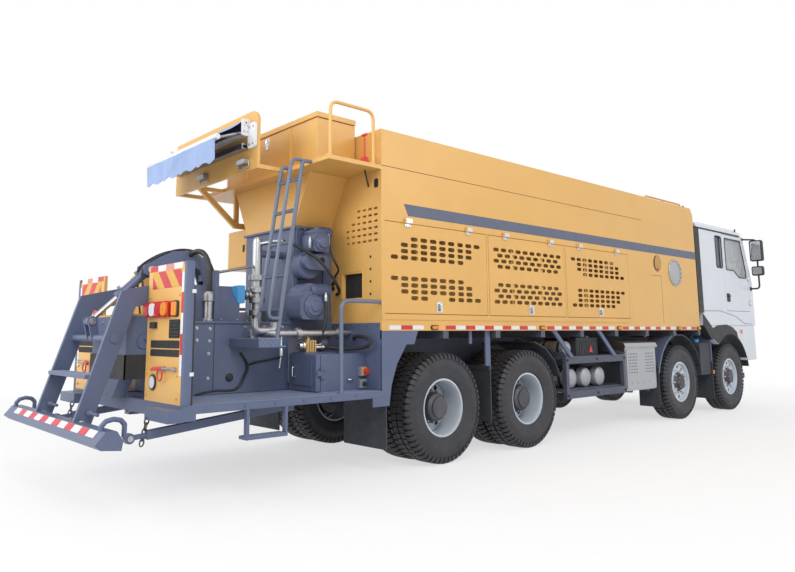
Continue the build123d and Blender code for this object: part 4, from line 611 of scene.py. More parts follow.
def disc(kit, y, hole_r):
    """A wheel disc with ten hand holes and ten nuts."""
    turns = [2 * math.pi * (n + 0.5) / 10 for n in range(10)]
    holes = [circle(0.218 * math.cos(a), 0.218 * math.sin(a), hole_r, 14) for a in turns]
    kit.plate((0, y, 0), (1, 0, 0), (0, 0, 1), circle(0, 0, 0.266, 48), holes, 0.012, "wheel")
    for n in range(10):
        a = 2 * math.pi * n / 10
        place = Vector((0.1675 * math.cos(a), y, 0.1675 * math.sin(a)))
        kit.rod(place, place + Vector((0, 0.006, 0)), 0.024, "chrome", 16)
        kit.rod(place, place + Vector((0, 0.028, 0)), 0.0165, "chrome", 6)
        kit.rod(place, place + Vector((0, 0.04, 0)), 0.009, "chrome", 10)


for number, x in AXLES.items():
    for side, flip in (("right", -1), ("left", 1)):
        steered = number < 3
        centre = (x, flip * (1.065 if steered else 0.89), WHEEL_R)
        body = f"wheel_{number}_{side}"
        rubber = Kit(centre, flip)
        rim = Kit(centre, flip)
        if steered:
            tyre(rubber, 0.0)
            barrel(rim, -0.125, 0.125)
            disc(rim, 0.085, 0.026)
            rim.lathe((0, 0, 0), "+y", [(0.2, -0.1), (0.2, 0.07)], "iron", 32)
            rim.lathe((0, 0.085, 0), "+y", [
                (0.142, 0.0), (0.138, 0.012), (0.112, 0.018), (0.104, 0.03), (0.1, 0.056), (0.086, 0.062),
                (0.0, 0.064),
            ], "iron", 32)
            rim.bolt_circle((0, 0.142, 0), "+y", 0.094, 8, 0.006)
        else:
            tyre(rubber, 0.17)
            tyre(rubber, -0.17)
            barrel(rim, 0.045, 0.285)
            barrel(rim, -0.285, -0.045)
            disc(rim, 0.05, 0.028)
            rim.lathe((0, 0, 0), "+y", [(0.2, -0.22), (0.2, 0.035)], "iron", 32)
            rim.lathe((0, 0.05, 0), "+y", [
                (0.15, 0.0), (0.146, 0.05), (0.168, 0.055), (0.168, 0.085), (0.15, 0.09), (0.138, 0.15),
                (0.12, 0.165), (0.108, 0.172), (0.104, 0.19), (0.0, 0.192),
            ], "iron", 36)
            rim.bolt_circle((0, 0.14, 0), "+y", 0.158, 12, 0.007)
        rubber.build(f"tyre_fine_{number}_{side}", body, replaces=(f"tyre_{number}_{side}",), angle=28)
        rim.build(f"rim_fine_{number}_{side}", body, replaces=(f"rim_{number}_{side}",))


# Side hatches with their slots, hinges and locks

HATCHES = ((-0.85, 0.64), (0.68, 2.13), (2.17, 3.68))
SLOT_PITCH = (0.1343, 0.133, 0.131)
SLOT_FIRST = (-0.726, 0.812, 2.333)
SLOT_HEIGHTS = ((2.215, 2.152, 2.09, 2.027), (1.822, 1.759, 1.697, 1.635))
ROWS = (
    ((range(2, 10), range(1, 9), range(1, 9), range(0, 8)),
     (range(0, 8), range(1, 9), range(1, 9), (2, 3, 6, 7, 8, 9))),
    ((range(10), [n + 0.5 for n in range(9)], range(10), [n + 0.5 for n in range(9)]),
     ([n + 0.5 for n in range(9)], range(10), [n + 0.5 for n in range(9)], range(10))),
    ((range(0, 8), range(1, 9), range(1, 9), range(2, 10)),
     (range(1, 10), range(1, 9), range(1, 9), range(0, 8))),
)
HINGES = ((-0.552, 0.342), (0.97, 1.84), (2.472, 3.378))
LOCKS = (-0.116, 1.425, 2.927)

for number, (start, end) in enumerate(HATCHES):
    for side, flip in (("right", -1), ("left", 1)):
        kit = Kit(flip=flip)
        holes = []
        for heights, rows in zip(SLOT_HEIGHTS, ROWS[number]):
            for z, places in zip(heights, rows):
                for n in places:
                    holes.append(obround(SLOT_FIRST[number] + n * SLOT_PITCH[number], z, 0.099, 0.042))
        kit.plate((0, BODY_SIDE, 0), (1, 0, 0), (0, 0, 1), soft_rect(start, 1.485, end, 2.365, 0.01), holes,
                  0.004, "yellow")
        for x0, x1, z0, z1 in ((start, end, 2.341, 2.365), (start, end, 1.485, 1.509),
                               (start, start + 0.024, 1.5, 2.35), (end - 0.024, end, 1.5, 2.35)):
            kit.box(x0, x1, BODY_SIDE - 0.028, BODY_SIDE - 0.003, z0, z1, "yellow")
        for share in (0.31, 0.69):
            x = start + share * (end - start)
            kit.box(x - 0.025, x + 0.025, BODY_SIDE - 0.028, BODY_SIDE - 0.02, 1.5, 2.35, "yellow")
        for share in (0.2, 0.8):
            x = start + share * (end - start)
            kit.rod((x - 0.04, BODY_SIDE + 0.013, 2.368), (x + 0.04, BODY_SIDE + 0.013, 2.368), 0.008,
                    "chrome")
            kit.prism(soft_rect(x - 0.042, 2.334, x + 0.042, 2.366, 0.006), "y", BODY_SIDE,
                      BODY_SIDE + 0.01, "chrome")
            kit.bolts([(x - 0.022, BODY_SIDE + 0.01, 2.345), (x + 0.022, BODY_SIDE + 0.01, 2.345)], "+y",
                      0.005, "steel")
        x = LOCKS[number]
        plate = [(x - 0.046, 1.5), (x + 0.046, 1.5), (x + 0.046, 1.595), (x, 1.618), (x - 0.046, 1.595)]
        kit.prism(plate, "y", BODY_SIDE, BODY_SIDE + 0.007, "chrome")
        kit.prism(soft_rect(x - 0.024, 1.512, x + 0.024, 1.588, 0.008), "y", BODY_SIDE + 0.007,
                  BODY_SIDE + 0.009, "steel")
        kit.tube([(x, BODY_SIDE + 0.007, 1.59), (x, BODY_SIDE + 0.026, 1.585),
                  (x, BODY_SIDE + 0.026, 1.515)], 0.008, "chrome", 0.01)
        kit.rod((x, BODY_SIDE + 0.007, 1.53), (x, BODY_SIDE + 0.016, 1.53), 0.014, "steel")
        name = f"hatch_{number + 1}_{side}"
        kit.build(f"hatch_fine_{number + 1}_{side}", name, replaces=(name,))


# Body and tank: stripe, tape, markers, seams, cover and gauge

kit = Kit()
for flip in kit.sides():
    kit.prism([(-0.538, 2.443), (5.84, 2.443), (5.84, 2.56), (-0.596, 2.56)], "y", BODY_SIDE,
              BODY_SIDE + 0.0013, "stripe")
    kit.box(REAR_WALL, 4.137, BODY_SIDE, BODY_SIDE + 0.0012, 2.902, 2.908, "seam")
    kit.box(REAR_WALL, 3.7, BODY_SIDE, BODY_SIDE + 0.008, 1.425, 1.474, "yellow")
    for first, count, look in ((-0.797, 3, 1), (-0.027, 10, 0), (1.72, 10, 0), (3.465, 10, 0),
                               (5.21, 3, 0)):
        for n in range(count):
            x = first + n * 0.1525
            kit.box(x, x + 0.15, BODY_SIDE, BODY_SIDE + 0.0014, 1.331, 1.371,
                    ("tape_red", "tape_white")[(n + look) % 2])
    for x in (-0.19, 1.62, 3.36, 5.1, 5.77):
        kit.prism(soft_rect(x - 0.055, 1.328, x + 0.055, 1.374, 0.022), "y", BODY_SIDE, BODY_SIDE + 0.012,
                  "black")
        kit.prism(soft_rect(x - 0.046, 1.336, x + 0.046, 1.366, 0.014), "y", BODY_SIDE + 0.012,
                  BODY_SIDE + 0.022, "amber")
    for pair in HINGES:
        for x in pair:
            kit.prism(soft_rect(x - 0.042, 2.368, x + 0.042, 2.41, 0.006), "y", BODY_SIDE,
                      BODY_SIDE + 0.036, "chrome")
            kit.bolts([(x - 0.022, BODY_SIDE + 0.006, 2.388), (x + 0.022, BODY_SIDE + 0.006, 2.388)], "+y",
                      0.005)
    kit.lathe((5.086, BODY_SIDE, 2.19), "+y", [
        (0.205, 0.0), (0.205, 0.01), (0.198, 0.014), (0.02, 0.016), (0.0, 0.016),
    ], "alu", 48)
    kit.bolt_circle((5.086, BODY_SIDE + 0.015, 2.19), "+y", 0.18, 16, 0.009)
    niche = arc(4.545, 2.3, 0.125, 90, 270, 14) + arc(4.545, 2.3, 0.125, 270, 360, 8)[1:]
    niche += [(4.665, 2.34), (4.63, 2.4), (4.58, 2.425)]
    # painted shade: the niche is drawn flat in a darker yellow
    kit.prism(niche, "y", BODY_SIDE, BODY_SIDE + 0.0013, "yellow_shaded")
    # painted shadow: the dark crescent stands for the shadow of the niche's rim
    crescent = arc(4.545, 2.3, 0.122, 95, 265, 12) + arc(4.6, 2.3, 0.135, 246, 114, 12)
    kit.prism(crescent, "y", BODY_SIDE + 0.0013, BODY_SIDE + 0.0023, "dark")
    kit.loop([(u, BODY_SIDE + 0.0005, v) for u, v in niche], 0.004, "yellow")
    kit.box(4.53, 4.57, BODY_SIDE + 0.0013, BODY_SIDE + 0.012, 2.195, 2.225, "signal")
    kit.box(4.64, 4.645, BODY_SIDE, BODY_SIDE + 0.0012, 1.42, 2.12, "seam")
    kit.box(4.3, 4.645, BODY_SIDE, BODY_SIDE + 0.0012, 2.115, 2.12, "seam")
    turns = [2 * math.pi * n / 16 for n in range(16)]
    kit.loop([(5.74 + 0.035 * math.cos(a), 1.15, 3.292 + 0.03 * math.sin(a)) for a in turns], 0.008,
             "signal")
    kit.box(REAR_WALL - 0.002, -0.872, -0.001, BODY_SIDE - 0.025, 0.772, 1.395, "slate")
    kit.prism([(REAR_WALL, 1.19), (-0.47, 1.19), (-0.415, 1.326), (REAR_WALL, 1.326)], "y",
              BODY_SIDE - 0.028, BODY_SIDE - 0.003, "slate")
    kit.bolts([(REAR_WALL - 0.002, y, 1.37) for y in (0.62, 0.82, 1.02, 1.18)], "-x", 0.01, "slate")
# painted shade: a near-black sheet behind the rear wall's opening, and dark discs and a slot for holes
kit.box(-0.855, -0.845, -0.975, -0.645, 1.625, 1.905, "dark")
for y, heights in ((-1.087, (2.029, 1.91, 1.79, 1.67)), (1.087, (1.91, 1.79, 1.67))):
    for z in heights:
        kit.lathe((REAR_WALL, y, z), "-x", [
            (0.014, 0.0), (0.014, 0.001), (0.009, 0.0015), (0.0, 0.0015),
        ], "dark", 14)
for z in (1.8, 1.75):
    kit.lathe((REAR_WALL, -0.5, z), "-x", [
        (0.024, 0.0), (0.024, 0.006), (0.014, 0.008), (0.0, 0.008),
    ], "dark", 18)
kit.prism(soft_rect(-1.205, 2.695, -1.145, 2.785, 0.02), "x", REAR_WALL - 0.0015, REAR_WALL, "dark")
frame_edge = soft_rect(-0.972, 1.628, -0.648, 1.902, 0.02)
kit.loop([(REAR_WALL - 0.001, u, v) for u, v in frame_edge], 0.004, "yellow")
kit.build("body_details")


# Upper platform, bin, rails

kit = Kit()
for flip in kit.sides():
    hoop = [(-1.49, 1.23, 2.905), (-1.49, 1.23, 3.42), (-0.973, 1.23, 3.42), (-0.973, 1.23, 2.905)]
    kit.tube(hoop, 0.016, "yellow", 0.09)
    for x in (-1.49, -0.973):
        kit.lathe((x, 1.215, 2.905), "+z", [(0.034, 0), (0.034, 0.01)], "yellow", 20)
    kit.tube([(4.5, 1.15, 3.27), (4.5, 1.15, 3.33), (5.62, 1.15, 3.33), (5.62, 1.15, 3.27)], 0.014,
             "yellow", 0.045)
    kit.tube([(5.06, 1.15, 3.27), (5.06, 1.15, 3.33)], 0.012, "yellow")
kit.build("guard_rails_fine", replaces=("guard_rails",))

kit = Kit()
kit.box(-1.375, -1.37, 0.0, 0.07, 3.24, 3.36, "chrome")
kit.tube([(-1.378, 0.035, 3.35), (-1.392, 0.035, 3.33), (-1.392, 0.035, 3.26)], 0.008, "chrome", 0.01)
kit.box(-1.375, -1.369, -0.86, 0.9, 2.925, 2.945, "yellow")
for y in (-0.4, 0.45):
    kit.box(-1.385, -1.37, y - 0.02, y + 0.02, 2.93, 3.37, "yellow")
for y in (-0.6, 0.1, 0.7):
    kit.bolts([(-1.522, y, 2.885), (-1.522, y + 0.15, 2.885)], "-x", 0.01, "yellow")
kit.rod((-1.0, -1.13, 2.905), (-1.0, -1.13, 3.2), 0.009, "signal")
kit.prism([(-1.05, 2.905), (-0.95, 2.905), (-0.98, 2.985), (-1.02, 2.985)], "y", -1.16, -1.1, "signal")
kit.rod((-1.0, -1.165, 3.21), (-1.0, -1.095, 3.21), 0.013, "signal")
kit.rod((-0.99, -1.12, 2.868), (REAR_WALL, -1.06, 2.72), 0.008, "black")
for y in (-0.3, 0.54):
    kit.prism(soft_rect(y - 0.078, 2.925, y + 0.078, 2.985, 0.012), "x", -1.885, -1.83, "alu")
    kit.prism(soft_rect(y - 0.07, 2.932, y + 0.07, 2.978, 0.01), "x", -1.889, -1.885, "lens")
    bail = [(-1.84, y - 0.085, 2.955), (-1.84, y - 0.085, 2.9), (-1.84, y + 0.085, 2.9),
            (-1.84, y + 0.085, 2.955)]
    kit.tube(bail, 0.006, "steel", 0.01)
kit.build("platform_details", bevel=0.002)


# Awning: sheet over the front bar, with cassette, end plates and folded arms

def awning_sheet():
    """The sheet's surface as rows of points, from the cassette over the bar to the wavy hem."""
    columns = 96
    across = [-0.37 + 1.58 * k / columns for k in range(columns + 1)]
    bar_x, bar_z, wrap = -2.17, 3.14, 0.028
    run = []
    for n in range(12):
        t = n / 12
        run.append((-1.912 - 0.262 * t, 3.344 - 0.176 * t - 0.014 * math.sin(math.pi * t)))
    run += arc(bar_x, bar_z, wrap, 80, 180)
    rows = [[(x, y, z) for y in across] for x, z in run]
    for n in range(1, 15):
        t = n / 14
        row = []
        for y in across:
            sway = 0.011 * math.sin(y * 17.0) + 0.006 * math.sin(y * 31.0 + 1.0)
            scallop = 0.5 - 0.5 * math.cos(2 * math.pi * (y + 0.37) / 0.1975)
            row.append((bar_x - wrap + max(sway, -0.012) * t, y, bar_z - (0.222 + 0.026 * scallop) * t))
        rows.append(row)
    return rows


def sheet_piece():
    """The sheet as a thin closed skin, pale outside and dark inside; the dark inside is painted shade."""
    outer = awning_sheet()
    thick = 0.002
    inner = []
    for n, row in enumerate(outer):
        before, after = outer[max(n - 1, 0)], outer[min(n + 1, len(outer) - 1)]
        line = []
        for k, (x, y, z) in enumerate(row):
            along = Vector(after[k]) - Vector(before[k])
            inward = Vector((-along.z, 0, along.x)).normalized()
            line.append((x + inward.x * thick, y, z + inward.z * thick))
        inner.append(line)
    kit = Kit()
    wide, tall = len(outer[0]), len(outer)

    def quads(offset):
        """Faces of one skin, whose points start at the offset."""
        faces = []
        for r in range(tall - 1):
            for c in range(wide - 1):
                a = offset + r * wide + c
                faces.append((a, a + 1, a + wide + 1, a + wide))
        return faces

    points = [p for row in outer for p in row] + [p for row in inner for p in row]
    back = wide * tall
    rim = [r * wide for r in range(tall)] + [(tall - 1) * wide + c for c in range(1, wide)]
    rim += [r * wide + wide - 1 for r in range(tall - 2, -1, -1)] + list(range(wide - 2, 0, -1))
    edge = [(a, b, b + back, a + back) for a, b in zip(rim, rim[1:] + rim[:1])]
    kit.add(points, quads(0) + edge, "cloth")
    # painted shade: the inner face takes the dark copy of the fabric
    kit.add([], quads(back - len(points)), "cloth_in")
    return kit.build("awning_sheet", replaces=("awning_cloth",), angle=60)


sheet = sheet_piece()

kit = Kit()
for y in (-0.385, 1.215):
    kit.plate((-1.93, y, 0), (1, 0, 0), (0, 0, 1), soft_rect(0.0, 3.2, 0.1, 3.37, 0.02),
              [circle(0.03, 3.24, 0.008, 12), circle(0.07, 3.24, 0.008, 12), circle(0.05, 3.33, 0.01, 12)],
              0.008, "tape_white")
    kit.bolts([(-1.9, y - 0.004, 3.3), (-1.86, y - 0.004, 3.3)], "-y", 0.008)
kit.prism(soft_rect(-0.525, 3.07, -0.388, 3.32, 0.03), "x", -1.858, -1.832, "tape_white")
kit.bolts([(-1.858, -0.49, 3.11), (-1.858, -0.42, 3.11), (-1.858, -0.49, 3.28), (-1.858, -0.42, 3.28)],
          "-x", 0.009)
kit.prism([(-1.905, 3.075), (-1.835, 3.075), (-1.835, 3.09), (-1.89, 3.09), (-1.89, 3.115), (-1.835, 3.115),
           (-1.835, 3.13), (-1.905, 3.13)], "y", -0.36, 1.16, "alu")
kit.prism([(-1.915, 3.225), (-1.83, 3.215), (-1.83, 3.235), (-1.915, 3.24)], "y", -0.37, 1.2, "tape_white")
kit.lathe((-2.171, -0.385, 3.143), "+y", [
    (0.012, 0.0), (0.026, 0.004), (0.031, 0.012), (0.031, 1.588), (0.026, 1.596), (0.012, 1.6),
], "tape_white", 24)
kit.build("awning_details", bevel=0.0015)


# Mixer, drives and pipework

kit = Kit()
kit.lathe((*RISER, 1.41), "+z", [
    (0.085, 0.0), (0.085, 0.018), (0.046, 0.022), (0.046, 0.78), (0.04, 0.81), (0.026, 0.832), (0.0, 0.84),
], "alu", 28)
for z in (1.5, 1.62, 1.72, 1.84):
    kit.lathe((*RISER, z), "+z", [(0.05, -0.026), (0.08, -0.024), (0.08, 0.024), (0.05, 0.026)], "alu", 28)
    kit.bolt_circle((*RISER, z + 0.024), "+z", 0.064, 6, 0.009)
kit.tube([(*RISER, 2.08), (-1.35, -0.25, 2.08)], 0.036, "slate")
kit.tube([(*RISER, 2.17), (-1.55, -0.42, 2.19), (-1.5, -0.5, 2.19)], 0.02, "alu", 0.05)
kit.tube([(-1.8, -0.5, 1.3), (-1.8, -0.76, 1.3), (REAR_WALL, -0.76, 1.3)], 0.031, "steel", 0.09, 18)
kit.tube([(-1.92, -0.7, 1.43), (-1.92, -0.7, 1.325), (-1.72, -0.7, 1.325), (-1.72, -0.7, 1.4)], 0.036,
         "alu", 0.07, 16)
for x in (-1.5, -1.03):
    kit.lathe((x, -0.76, 1.3), "+x", [
        (0.033, -0.03), (0.052, -0.022), (0.052, 0.022), (0.033, 0.03),
    ], "steel", 24)
    kit.bolt_circle((x - 0.022, -0.76, 1.3), "-x", 0.043, 6, 0.006)
kit.lathe((-1.8, -0.5, 1.3), "-y", [(0.062, 0), (0.062, 0.016), (0.036, 0.02)], "steel", 24)
kit.lathe((-1.68, -0.76, 1.09), "+z", [
    (0.01, 0.0), (0.02, 0.01), (0.02, 0.07), (0.013, 0.08), (0.013, 0.19),
], "steel", 18)
kit.box(-1.72, -1.645, -0.786, -0.774, 1.178, 1.19, "sky")
kit.rod((-1.68, -0.76, 1.095), (-1.7, -0.77, 0.99), 0.006, "steel", 10)
kit.build("process_pipes_fine", replaces=("process_pipes",))

kit = Kit()
kit.prism(soft_rect(-1.275, 2.09, -1.095, 2.275, 0.03), "y", -0.7, -0.46, "slate")
kit.lathe((-1.185, -0.7, 2.18), "-y", [
    (0.08, 0.0), (0.08, 0.014), (0.058, 0.02), (0.052, 0.04), (0.03, 0.044), (0.0, 0.044),
], "slate", 32)
kit.bolt_circle((-1.185, -0.714, 2.18), "-y", 0.07, 8, 0.007, "slate")
kit.prism(soft_rect(-1.255, 2.27, -1.125, 2.315, 0.012), "y", -0.68, -0.48, "slate")
kit.lathe((-1.2, -0.6, 2.3), "+x", [(0.03, 0.0), (0.05, 0.01), (0.05, 0.18), (0.034, 0.2)], "slate", 28)
for n in range(7):
    kit.lathe((-1.17 + 0.022 * n, -0.6, 2.3), "+x", [(0.056, 0.0), (0.056, 0.008)], "slate", 28)
for x, z in ((-1.3, 2.12), (-1.072, 2.17)):
    kit.lathe((x, -0.66, z), "+z", [
        (0.009, 0.0), (0.014, 0.008), (0.014, 0.08), (0.01, 0.09), (0.01, 0.11),
    ], "steel", 16)
    kit.rod((x, -0.66, z + 0.05), (-1.185, -0.62, z + 0.05), 0.01, "slate", 10)
housing = arc(-1.285, 1.99, 0.078, 90, 270, 8)
housing += [(-1.09, 1.912), (-1.06, 1.945), (-1.06, 2.035), (-1.09, 2.068)]
kit.prism(housing, "y", -0.66, -0.46, "slate")
# painted shade: a dark disc on the housing's face
kit.lathe((-1.15, -0.66, 2.01), "-y", [(0.032, 0.0), (0.032, 0.002), (0.0, 0.0025)], "dark", 20)
kit.lathe((-1.25, -0.46, 1.96), "-y", [
    (0.14, 0.0), (0.14, 0.12), (0.125, 0.135), (0.0, 0.136),
], "slate", 40)
kit.prism(soft_rect(-1.43, 1.43, -1.1, 1.7, 0.05), "y", -0.7, -0.46, "slate")
kit.prism(arc(-1.3, 1.66, 0.12, 0, 180, 12), "y", -0.68, -0.48, "slate")
kit.lathe((-1.28, -0.7, 1.555), "-y", [
    (0.11, 0.0), (0.11, 0.014), (0.095, 0.02), (0.088, 0.034), (0.055, 0.036), (0.046, 0.048), (0.0, 0.05),
], "slate", 36)
kit.bolt_circle((-1.28, -0.714, 1.555), "-y", 0.102, 10, 0.007, "slate")
kit.lathe((-1.3, -0.66, 1.705), "+x", [
    (0.045, 0.0), (0.062, 0.012), (0.062, 0.22), (0.045, 0.24),
], "slate", 28)
for n in range(8):
    kit.lathe((-1.26 + 0.022 * n, -0.66, 1.705), "+x", [(0.069, 0.0), (0.069, 0.008)], "slate", 28)
kit.lathe((-1.16, -0.735, 1.6), "+z", [
    (0.014, 0.0), (0.02, 0.006), (0.02, 0.06), (0.014, 0.07), (0.014, 0.09),
], "alu", 16)
for x in (-1.415, -1.115):
    kit.bolts([(x, -0.7, z) for z in (1.47, 1.66)], "-y", 0.01, "slate")
kit.prism(soft_rect(0.79, 2.04, 1.25, 2.5, 0.02), "x", -1.14, REAR_WALL, "yellow")
kit.prism(soft_rect(0.82, 2.07, 1.22, 2.47, 0.015), "x", -1.146, -1.14, "yellow")
kit.box(-1.156, -1.146, 0.86, 0.89, 2.24, 2.32, "black")
kit.build("drives_fine", bevel=0.003, replaces=("mixer_drives",))

kit = Kit()
kit.box(-2.515, -1.415, -0.515, 0.515, 1.392, 1.41, "slate")
kit.box(-2.2125, -2.2075, -0.5025, -0.5, 0.8, 1.392, "dark")
kit.box(-2.5, -1.43, -0.512, -0.5, 0.775, 0.815, "slate")
spots = ((-2.378, 1.349), (-2.252, 1.343), (-2.373, 1.244), (-2.255, 1.235), (-2.259, 1.127),
         (-2.26, 0.914), (-1.9, 1.36), (-1.7, 1.36), (-1.5, 1.36))
kit.bolts([(x, -0.5, z) for x, z in spots], "-y", 0.012, "steel")
kit.lathe((-2.051, -0.5, 0.914), "-y", [
    (0.036, 0.0), (0.036, 0.01), (0.026, 0.02), (0.0, 0.022),
], "hose", 24)
kit.prism(soft_rect(-1.88, 1.585, -1.8, 1.755, 0.012), "y", -0.31, -0.21, "sky")
kit.rod((-1.81, -0.26, 1.67), (-1.66, -0.25, 1.67), 0.026, "alu")
for x in (-1.775, -1.735):
    kit.lathe((x, -0.258, 1.67), "+x", [(0.05, -0.008), (0.05, 0.008)], "alu", 20)
kit.box(-1.375, -0.895, -0.488, 0.488, 2.338, 2.358, "slate")
kit.box(-1.43, -0.893, -0.48, -0.462, 1.27, 1.46, "slate")
kit.bolts([(-1.32 + 0.085 * n, -0.475, 2.338) for n in range(6)], "-z", 0.01, "steel")
for x in (-1.33, -1.0):
    kit.box(x - 0.006, x + 0.006, -0.48, -0.46, 1.75, 2.34, "slate")
kit.lathe((-2.2, -0.36, 1.41), "+z", [
    (0.054, 0.0), (0.054, 0.02), (0.038, 0.024), (0.038, 0.18), (0.05, 0.185), (0.05, 0.25), (0.034, 0.27),
], "alu", 24)
kit.box(-2.14, -2.095, -0.348, -0.304, 1.41, 1.88, "slate")
kit.rod((-2.115, -0.326, 1.86), (*RISER, 1.96), 0.013, "alu")
kit.tube([(-2.6, 0.415, 1.7), (-2.6, 0.38, 1.84), (-2.4, 0.07, 1.9)], 0.016, "alu", 0.05)
kit.box(-2.962, -2.949, -0.41, 0.41, 0.93, 1.13, "black")
for flip in kit.sides():
    kit.box(-2.962, -2.58, 0.398, 0.41, 0.93, 1.13, "black")
    kit.plate((-2.6, 0.4, 0), (-1, 0, 0), (0, 0, 1), soft_rect(0.0, 1.18, 0.26, 1.3, 0.05),
              [circle(0.2, 1.24, 0.018, 14)], 0.012, "slate")
kit.box(-2.945, -2.56, -0.375, 0.375, 1.449, 1.468, "yellow")
kit.box(-2.63, -2.61, 0.1, 0.375, 1.468, 1.6, "yellow")
kit.prism([(-2.46, DECK_TOP), (-2.15, DECK_TOP), (-2.15, 1.97), (-2.36, 1.97), (-2.46, 1.86)], "y", 0.56,
          0.86, "yellow")
kit.box(-2.1, -2.08, 0.56, 0.86, DECK_TOP, 0.8, "slate")
for y in (-0.31, 0.31):
    kit.box(-2.27, -1.83, y - 0.012, y + 0.012, 1.41, 1.43, "slate")
    kit.bolts([(x, y, 1.43) for x in (-2.22, -2.05, -1.88)], "+z", 0.01)
kit.tube([(-2.05, -0.1, 1.75), (-2.05, -0.1, 1.8), (-2.05, 0.1, 1.8), (-2.05, 0.1, 1.75)], 0.009, "slate",
         0.02)
kit.bolts([(-2.95, y, 1.4) for y in (-0.34, -0.17, 0.0, 0.17, 0.34)], "-x", 0.01, "steel")
for flip in kit.sides():
    kit.lathe((-2.6, 0.4, 1.68), "+y", [(0.062, 0.0), (0.062, 0.03), (0.045, 0.035)], "slate", 24)
    kit.lathe((-2.6, 0.545, 1.68), "+y", [
        (0.044, -0.022), (0.044, -0.004), (0.03, 0.0), (0.0, 0.001),
    ], "steel", 24)
    kit.lathe((-2.63, 0.08, 1.874), "+y", [(0.034, 0.0), (0.034, 0.012), (0.0, 0.013)], "steel", 20)
    kit.bolts([(-2.06, 0.08, z) for z in (1.48, 1.6, 1.72)], "+y", 0.012)
kit.box(-1.45, -1.08, -0.81, -0.6, 1.098, 1.125, "slate")
kit.box(-1.43, -1.315, -0.8, -0.68, 1.125, 1.235, "brass")
for n in range(4):
    x = -1.424 + 0.029 * n
    kit.box(x, x + 0.014, -0.81, -0.8, 1.132, 1.228, "brass")
for n in range(3):
    kit.lathe((-1.315, -0.785 + 0.045 * n, 1.17 + 0.02 * n), "+x", [
        (0.022, 0.0), (0.022, 0.02), (0.015, 0.025), (0.015, 0.06), (0.024, 0.065), (0.024, 0.09),
        (0.012, 0.1),
    ], "chrome", 18)
kit.lathe((-1.43, -0.745, 1.185), "-x", [
    (0.05, 0.0), (0.05, 0.018), (0.034, 0.022), (0.034, 0.05), (0.02, 0.055),
], "chrome", 24)
kit.lathe((-1.37, -0.74, 1.235), "+z", [
    (0.024, 0.0), (0.024, 0.02), (0.014, 0.026), (0.014, 0.05), (0.0, 0.052),
], "brass", 18)
kit.lathe((-1.3, -0.66, 1.205), "+x", [
    (0.05, 0.0), (0.072, 0.01), (0.072, 0.17), (0.05, 0.19),
], "slate", 28)
kit.build("mixer_details", bevel=0.0025)

hoses("plant_hoses", [
    [(-1.948, -0.505, 1.128), (-1.851, -0.515, 1.021), (-1.905, -0.515, 0.91), (-1.948, -0.515, 0.833),
     (-2.014, -0.512, 0.793), (-2.225, -0.512, 0.813), (-2.379, -0.508, 0.78)],
    [(-1.851, -0.51, 1.021), (-1.78, -0.515, 1.04), (-1.712, -0.515, 1.047), (-1.513, -0.505, 1.079)],
    [(-1.072, -0.66, 2.17), (-1.06, -0.7, 2.05), (-1.01, -0.72, 1.96), (-0.94, -0.66, 1.92),
     (-0.9, -0.52, 1.86), (-0.885, -0.5, 1.8)],
], 0.01)
hoses("drive_hoses", [
    [(-1.16, -0.735, 1.61), (-1.17, -0.76, 1.54), (-1.2, -0.79, 1.45), (-1.23, -0.79, 1.3),
     (-1.25, -0.74, 1.2)],
    [(-0.885, -0.835, 1.243), (-0.93, -0.86, 1.262), (-0.95, -1.0, 1.275), (-0.955, -1.13, 1.25),
     (-0.955, -1.165, 1.21), (-0.955, -1.12, 1.17), (-0.98, -0.95, 1.15), (-1.1, -0.8, 1.155),
     (-1.225, -0.785, 1.17)],
    [(-1.505, -0.49, 2.19), (-1.38, -0.6, 2.14), (-1.22, -0.78, 1.97), (-1.02, -0.78, 1.72),
     (-0.9, -0.6, 1.69), (-0.885, -0.55, 1.69)],
], 0.016)
hoses("neck_hoses", [
    [(-2.02, y, 1.7), (-1.975, y, 1.8), (-2.04, y, 2.0), (-2.22, y, 2.095), (-2.44, y, 2.075),
     (-2.66, y, 1.945), (-2.715, y, 1.86), (-2.69, y, 1.7), (-2.66, y, 1.46)] for y in (-0.058, 0.058)
], 0.009)
hoses("mixer_hose", [
    [(-2.26, -0.06, 2.03), (-2.24, -0.12, 2.07), (-2.2, -0.22, 2.06), (-2.19, -0.32, 1.95),
     (-2.2, -0.36, 1.82), (-2.2, -0.36, 1.66)],
], 0.025)


# Ladder, rails and deck

kit = Kit()
kit.box(-2.06, -1.84, -1.0, -0.5, 1.18, 1.255, "slate")
kit.box(-2.055, -1.845, -0.995, -0.505, 1.255, 1.26, "deck")
# painted shade: the step's front face takes the darker upright plate
kit.box(-2.055, -1.845, -1.002, -1.0, 1.184, 1.252, "chequer")
top, foot = 2.885, 1.24
lean = (-1.612 + 1.86) / (top - foot)
for y in (-0.62, -0.97):
    kit.tube([(-1.86, y, foot), (-1.612, y, top), (-1.52, y, top)], 0.019, "tube", 0.07)
for n in range(1, 6):
    z = foot + n * 0.3 - 0.03
    x = -1.86 + lean * (z - foot)
    kit.rod((x, -0.97, z), (x, -0.62, z), 0.015, "tube", 16)
    kit.box(x - 0.016, x + 0.016, -0.95, -0.64, z + 0.011, z + 0.016, "tube")
low_x = -1.86 + lean * 0.19
kit.tube([(low_x, -0.97, 1.43), (low_x - 0.12, -0.97, 1.43), (-1.732, -0.97, top), (-1.592, -0.97, top)],
         0.016, "tube", 0.07)
for flip in kit.sides():
    kit.tube([(-1.353, 1.226, DECK_TOP), (-1.353, 1.226, 1.59), (REAR_WALL, 1.226, 1.59)], 0.019, "tube",
             0.09)
    kit.lathe((-1.353, 1.215, DECK_TOP), "+z", [(0.034, 0.0), (0.034, 0.01)], "tube", 20)
kit.build("ladder_fine", replaces=("ladder",))

